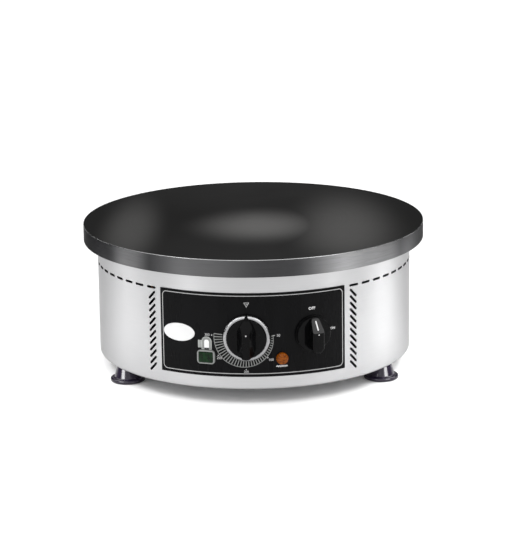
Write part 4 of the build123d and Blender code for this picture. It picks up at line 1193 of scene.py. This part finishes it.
# ------ cable gland
# Radii, and depths outward from the drum's wall.
gland_bore = 6.5
gland_thread = 10.0
gland_thread_end = -10.2
gland_neck = 9.0
gland_neck_start = 1.0
gland_neck_end = 13.0
collar_flats = 24.0
collar_depth = 6.0
cap_radius = 12.0
cap_start = 6.1
cap_end = 17.1
cap_hole = 5.5
flute_count = 12
flute_radius = 1.3
flute_circle = 12.75
flute_start = 7.4
flute_end = 14.2
seal_inner = 4.25
seal_outer = 6.45


def collar_outline():
    """Hexagon with rounded corners."""
    radius = collar_flats / math.sqrt(3)
    turns = [math.radians(60 * number) for number in range(6)]
    return rounded([(radius * math.cos(turn), radius * math.sin(turn), 0.8) for turn in turns], 4)


def make_gland(nylon, rubber):
    body = lathe(rounded([
        (gland_bore, gland_thread_end, 0), (gland_thread, gland_thread_end, 0.3),
        (gland_thread, gland_neck_start, 0), (gland_neck, gland_neck_start, 0),
        (gland_neck, gland_neck_end, 0.3), (gland_bore, gland_neck_end, 0.3),
    ], 3), 96)
    mesh = combined(body, prism(collar_outline(), -0.3, collar_depth, 0.6, 3), "UNION")
    mesh = combined(mesh, prism(circle(gland_bore), -12, 14), "DIFFERENCE")
    add_piece("cable_gland_body", mesh, [nylon], ["cable_gland"], gland_place)

    inner = gland_neck + 0.05
    inner_end = gland_neck_end + 0.1
    cap = lathe(rounded([
        (inner, cap_start, 0), (cap_radius, cap_start, 0.3), (cap_radius, cap_end, 3.0),
        (cap_hole, cap_end, 0.4), (cap_hole, inner_end, 0), (inner, inner_end, 0),
    ], 8), 144)
    flutes = []
    for number in range(flute_count):
        flute = shifted(prism(circle(flute_radius, 20), flute_start, flute_end), flute_circle, 0)
        flutes.append(moved(flute, Matrix.Rotation(2 * math.pi * number / flute_count, 4, "Z")))
    cap = combined(cap, joined(flutes), "DIFFERENCE")
    add_piece("gland_cap_fluted", cap, [nylon], ["gland_cap"], gland_place)

    seal = lathe(rounded([
        (seal_inner, gland_neck_start, 0.3), (seal_outer, gland_neck_start, 0.3),
        (seal_outer, gland_neck_end, 0.3), (seal_inner, gland_neck_end, 0.6),
    ], 4), 72)
    add_piece("gland_seal_ring", seal, [rubber], ["gland_seal"], gland_place)


# ------ parts whose CAD shape shows
def finish_cad_nodes():
    """Gives each CAD node that is still shown the finish of its slot."""
    record = frame["record"]
    entries = {entry["slot"]: entry for entry in record["materials"]}
    made = {}
    for part in record["subparts"]:
        slot = part["material_slot"]
        obj = frame["nodes"][part["node"]]
        if obj.hide_render:
            continue
        if slot not in made:
            made[slot] = plain_finish(slot + "_finish", entries[slot])
        obj.data.materials.clear()
        obj.data.materials.append(made[slot].material)


# ------ camera, light and floor
def make_camera():
    """Camera at the photograph's place: the panel's middle stands a little left of its axis."""
    image_height = 550.0
    focal_pixels = 2439.5
    distance = 2800.0
    above_plate = 662.4
    panel_turn = 0.77
    pitch = 14.64
    yaw = 0.11
    roll = -0.78
    data = bpy.data.cameras.new("camera")
    data.lens = focal_pixels / image_height * data.sensor_width
    data.clip_end = 100.0
    camera = add_object("camera", data)
    spot = around(panel_turn, distance, plate_top + above_plate)
    camera.matrix_world = (
        Matrix.Translation(spot * MM) @ Matrix.Rotation(math.radians(panel_turn - yaw), 4, "Z")
        @ Matrix.Rotation(math.radians(90 - pitch), 4, "X")
        @ Matrix.Rotation(math.radians(roll), 4, "Z"))
    bpy.context.scene.camera = camera


def area_light(name, width, length, power):
    data = bpy.data.lights.new(name, "AREA")
    data.shape = "RECTANGLE"
    data.size = width
    data.size_y = length
    data.energy = power
    return add_object(name, data)


def soft_light(name, angle, distance, height, width, length, power):
    """Rectangular light, in metres, that faces the object."""
    light = area_light(name, width, length, power)
    light.location = around(angle, distance, height)
    aim = Vector((0, 0, 0.1)) - light.location
    light.rotation_euler = aim.to_track_quat("-Z", "Y").to_euler()
    return light


def band_light(name, wall_angle, width, power):
    """Low strip that lights the floor where the camera sees it mirrored in the drum at an angle."""
    mirrored = 2 * wall_angle
    light = area_light(name, width, 0.5, power)
    light.location = around(wall_angle, wall_radius) * MM + around(mirrored, 0.35, 0.18)
    light.rotation_euler.z = math.radians(mirrored)


def screened(light, pieces):
    """Screens a light off from everything but some pieces."""
    lit = bpy.data.collections.new(light.name + "_pieces")
    for piece in pieces:
        lit.objects.link(piece)
    light.light_linking.receiver_collection = lit


def make_world():
    """Soft white surroundings, bright from straight above and from the front."""
    world = bpy.data.worlds.new("studio")
    bpy.context.scene.world = world
    world.use_nodes = True
    tree = world.node_tree
    direction = add_node(tree, "TexCoord").outputs["Generated"]
    split = add_node(tree, "SeparateXYZ", {"Vector": direction})
    ceiling = mapped(tree, split.outputs["Z"], (0.5, 0.8), (0.04, 1.9))
    front = mapped(tree, split.outputs["Y"], (-0.3, -0.75), (0.0, 1.5))
    background = tree.nodes["Background"].inputs
    background["Color"].default_value = (1, 1, 1, 1)
    tree.links.new(maths(tree, "MAXIMUM", ceiling, front), background["Strength"])


def make_floor():
    mesh = bmesh.new()
    bmesh.ops.create_circle(mesh, cap_ends=True, segments=64, radius=30.0)
    floor = add_object("floor", mesh_data("floor", mesh))
    floor.location.z = -0.3 * MM
    finish = grained("floor", (0.9, 0.9, 0.9), 0.7, 3.0, (0.99, 1.01))
    floor.data.materials.append(finish.material)


def make_studio():
    """World, floor, and the lights that everything receives."""
    bpy.context.scene.view_settings.view_transform = "Standard"
    make_world()
    band_light("left_band", wall_angle=-52, width=0.13, power=0.75)
    band_light("left_front_band", wall_angle=-24, width=0.04, power=0.4)
    band_light("right_front_band", wall_angle=30, width=0.04, power=0.4)
    band_light("right_band", wall_angle=55, width=0.1, power=1.2)
    for name, angle in (("left_high", -60), ("right_high", 60)):
        soft_light(name, angle, distance=1.6, height=2.0, width=0.55, length=0.55, power=10)
    make_floor()


def light_trim(feet, ring):
    """Lights for the glints on the feet and the ring, screened so that the plate has no glare."""
    for name, angle in (("left_strip", -42), ("right_strip", 46)):
        strip = soft_light(name, angle, distance=2.0, height=0.56, width=1.0, length=0.5, power=45)
        screened(strip, feet)
    card = soft_light("ring_card", 0, distance=2.0, height=1.6, width=7.0, length=2.4, power=75)
    screened(card, [ring])


def build():
    make_camera()
    make_studio()
    white = ink("white", 0.62, 0.62, 0.62)
    grey = ink("grey", 0.34, 0.34, 0.34)
    line_grey = ink("line", 0.33, 0.33, 0.33)
    pale = ink("pale", 0.27, 0.28, 0.27)
    dim = ink("dim", 0.16, 0.165, 0.16)
    dark = ink("dark", 0.01, 0.01, 0.011)
    black = knob_black()
    rubber = foot_rubber()
    make_plate(seasoned_iron(), machined_iron(), bare_highlight_edge())
    make_drum(brushed_steel(), shaded_cut_edge())
    make_panel(printed_panel())
    make_border(line_grey)
    make_dial(grey, dim)
    make_switch_print(white)
    make_lamp_symbols(white, dim, pale, dark)
    make_badge(badge_white())
    ring = make_thermostat_knob(black, ring_silver(), white)
    make_selector_knob(black, white)
    make_amber_lamp(amber_plastic())
    make_green_lamp(bezel_grey(), green_plastic())
    feet = make_feet(rubber)
    light_trim(feet, ring)
    make_gland(nylon_black(), rubber)
    finish_cad_nodes()


build()
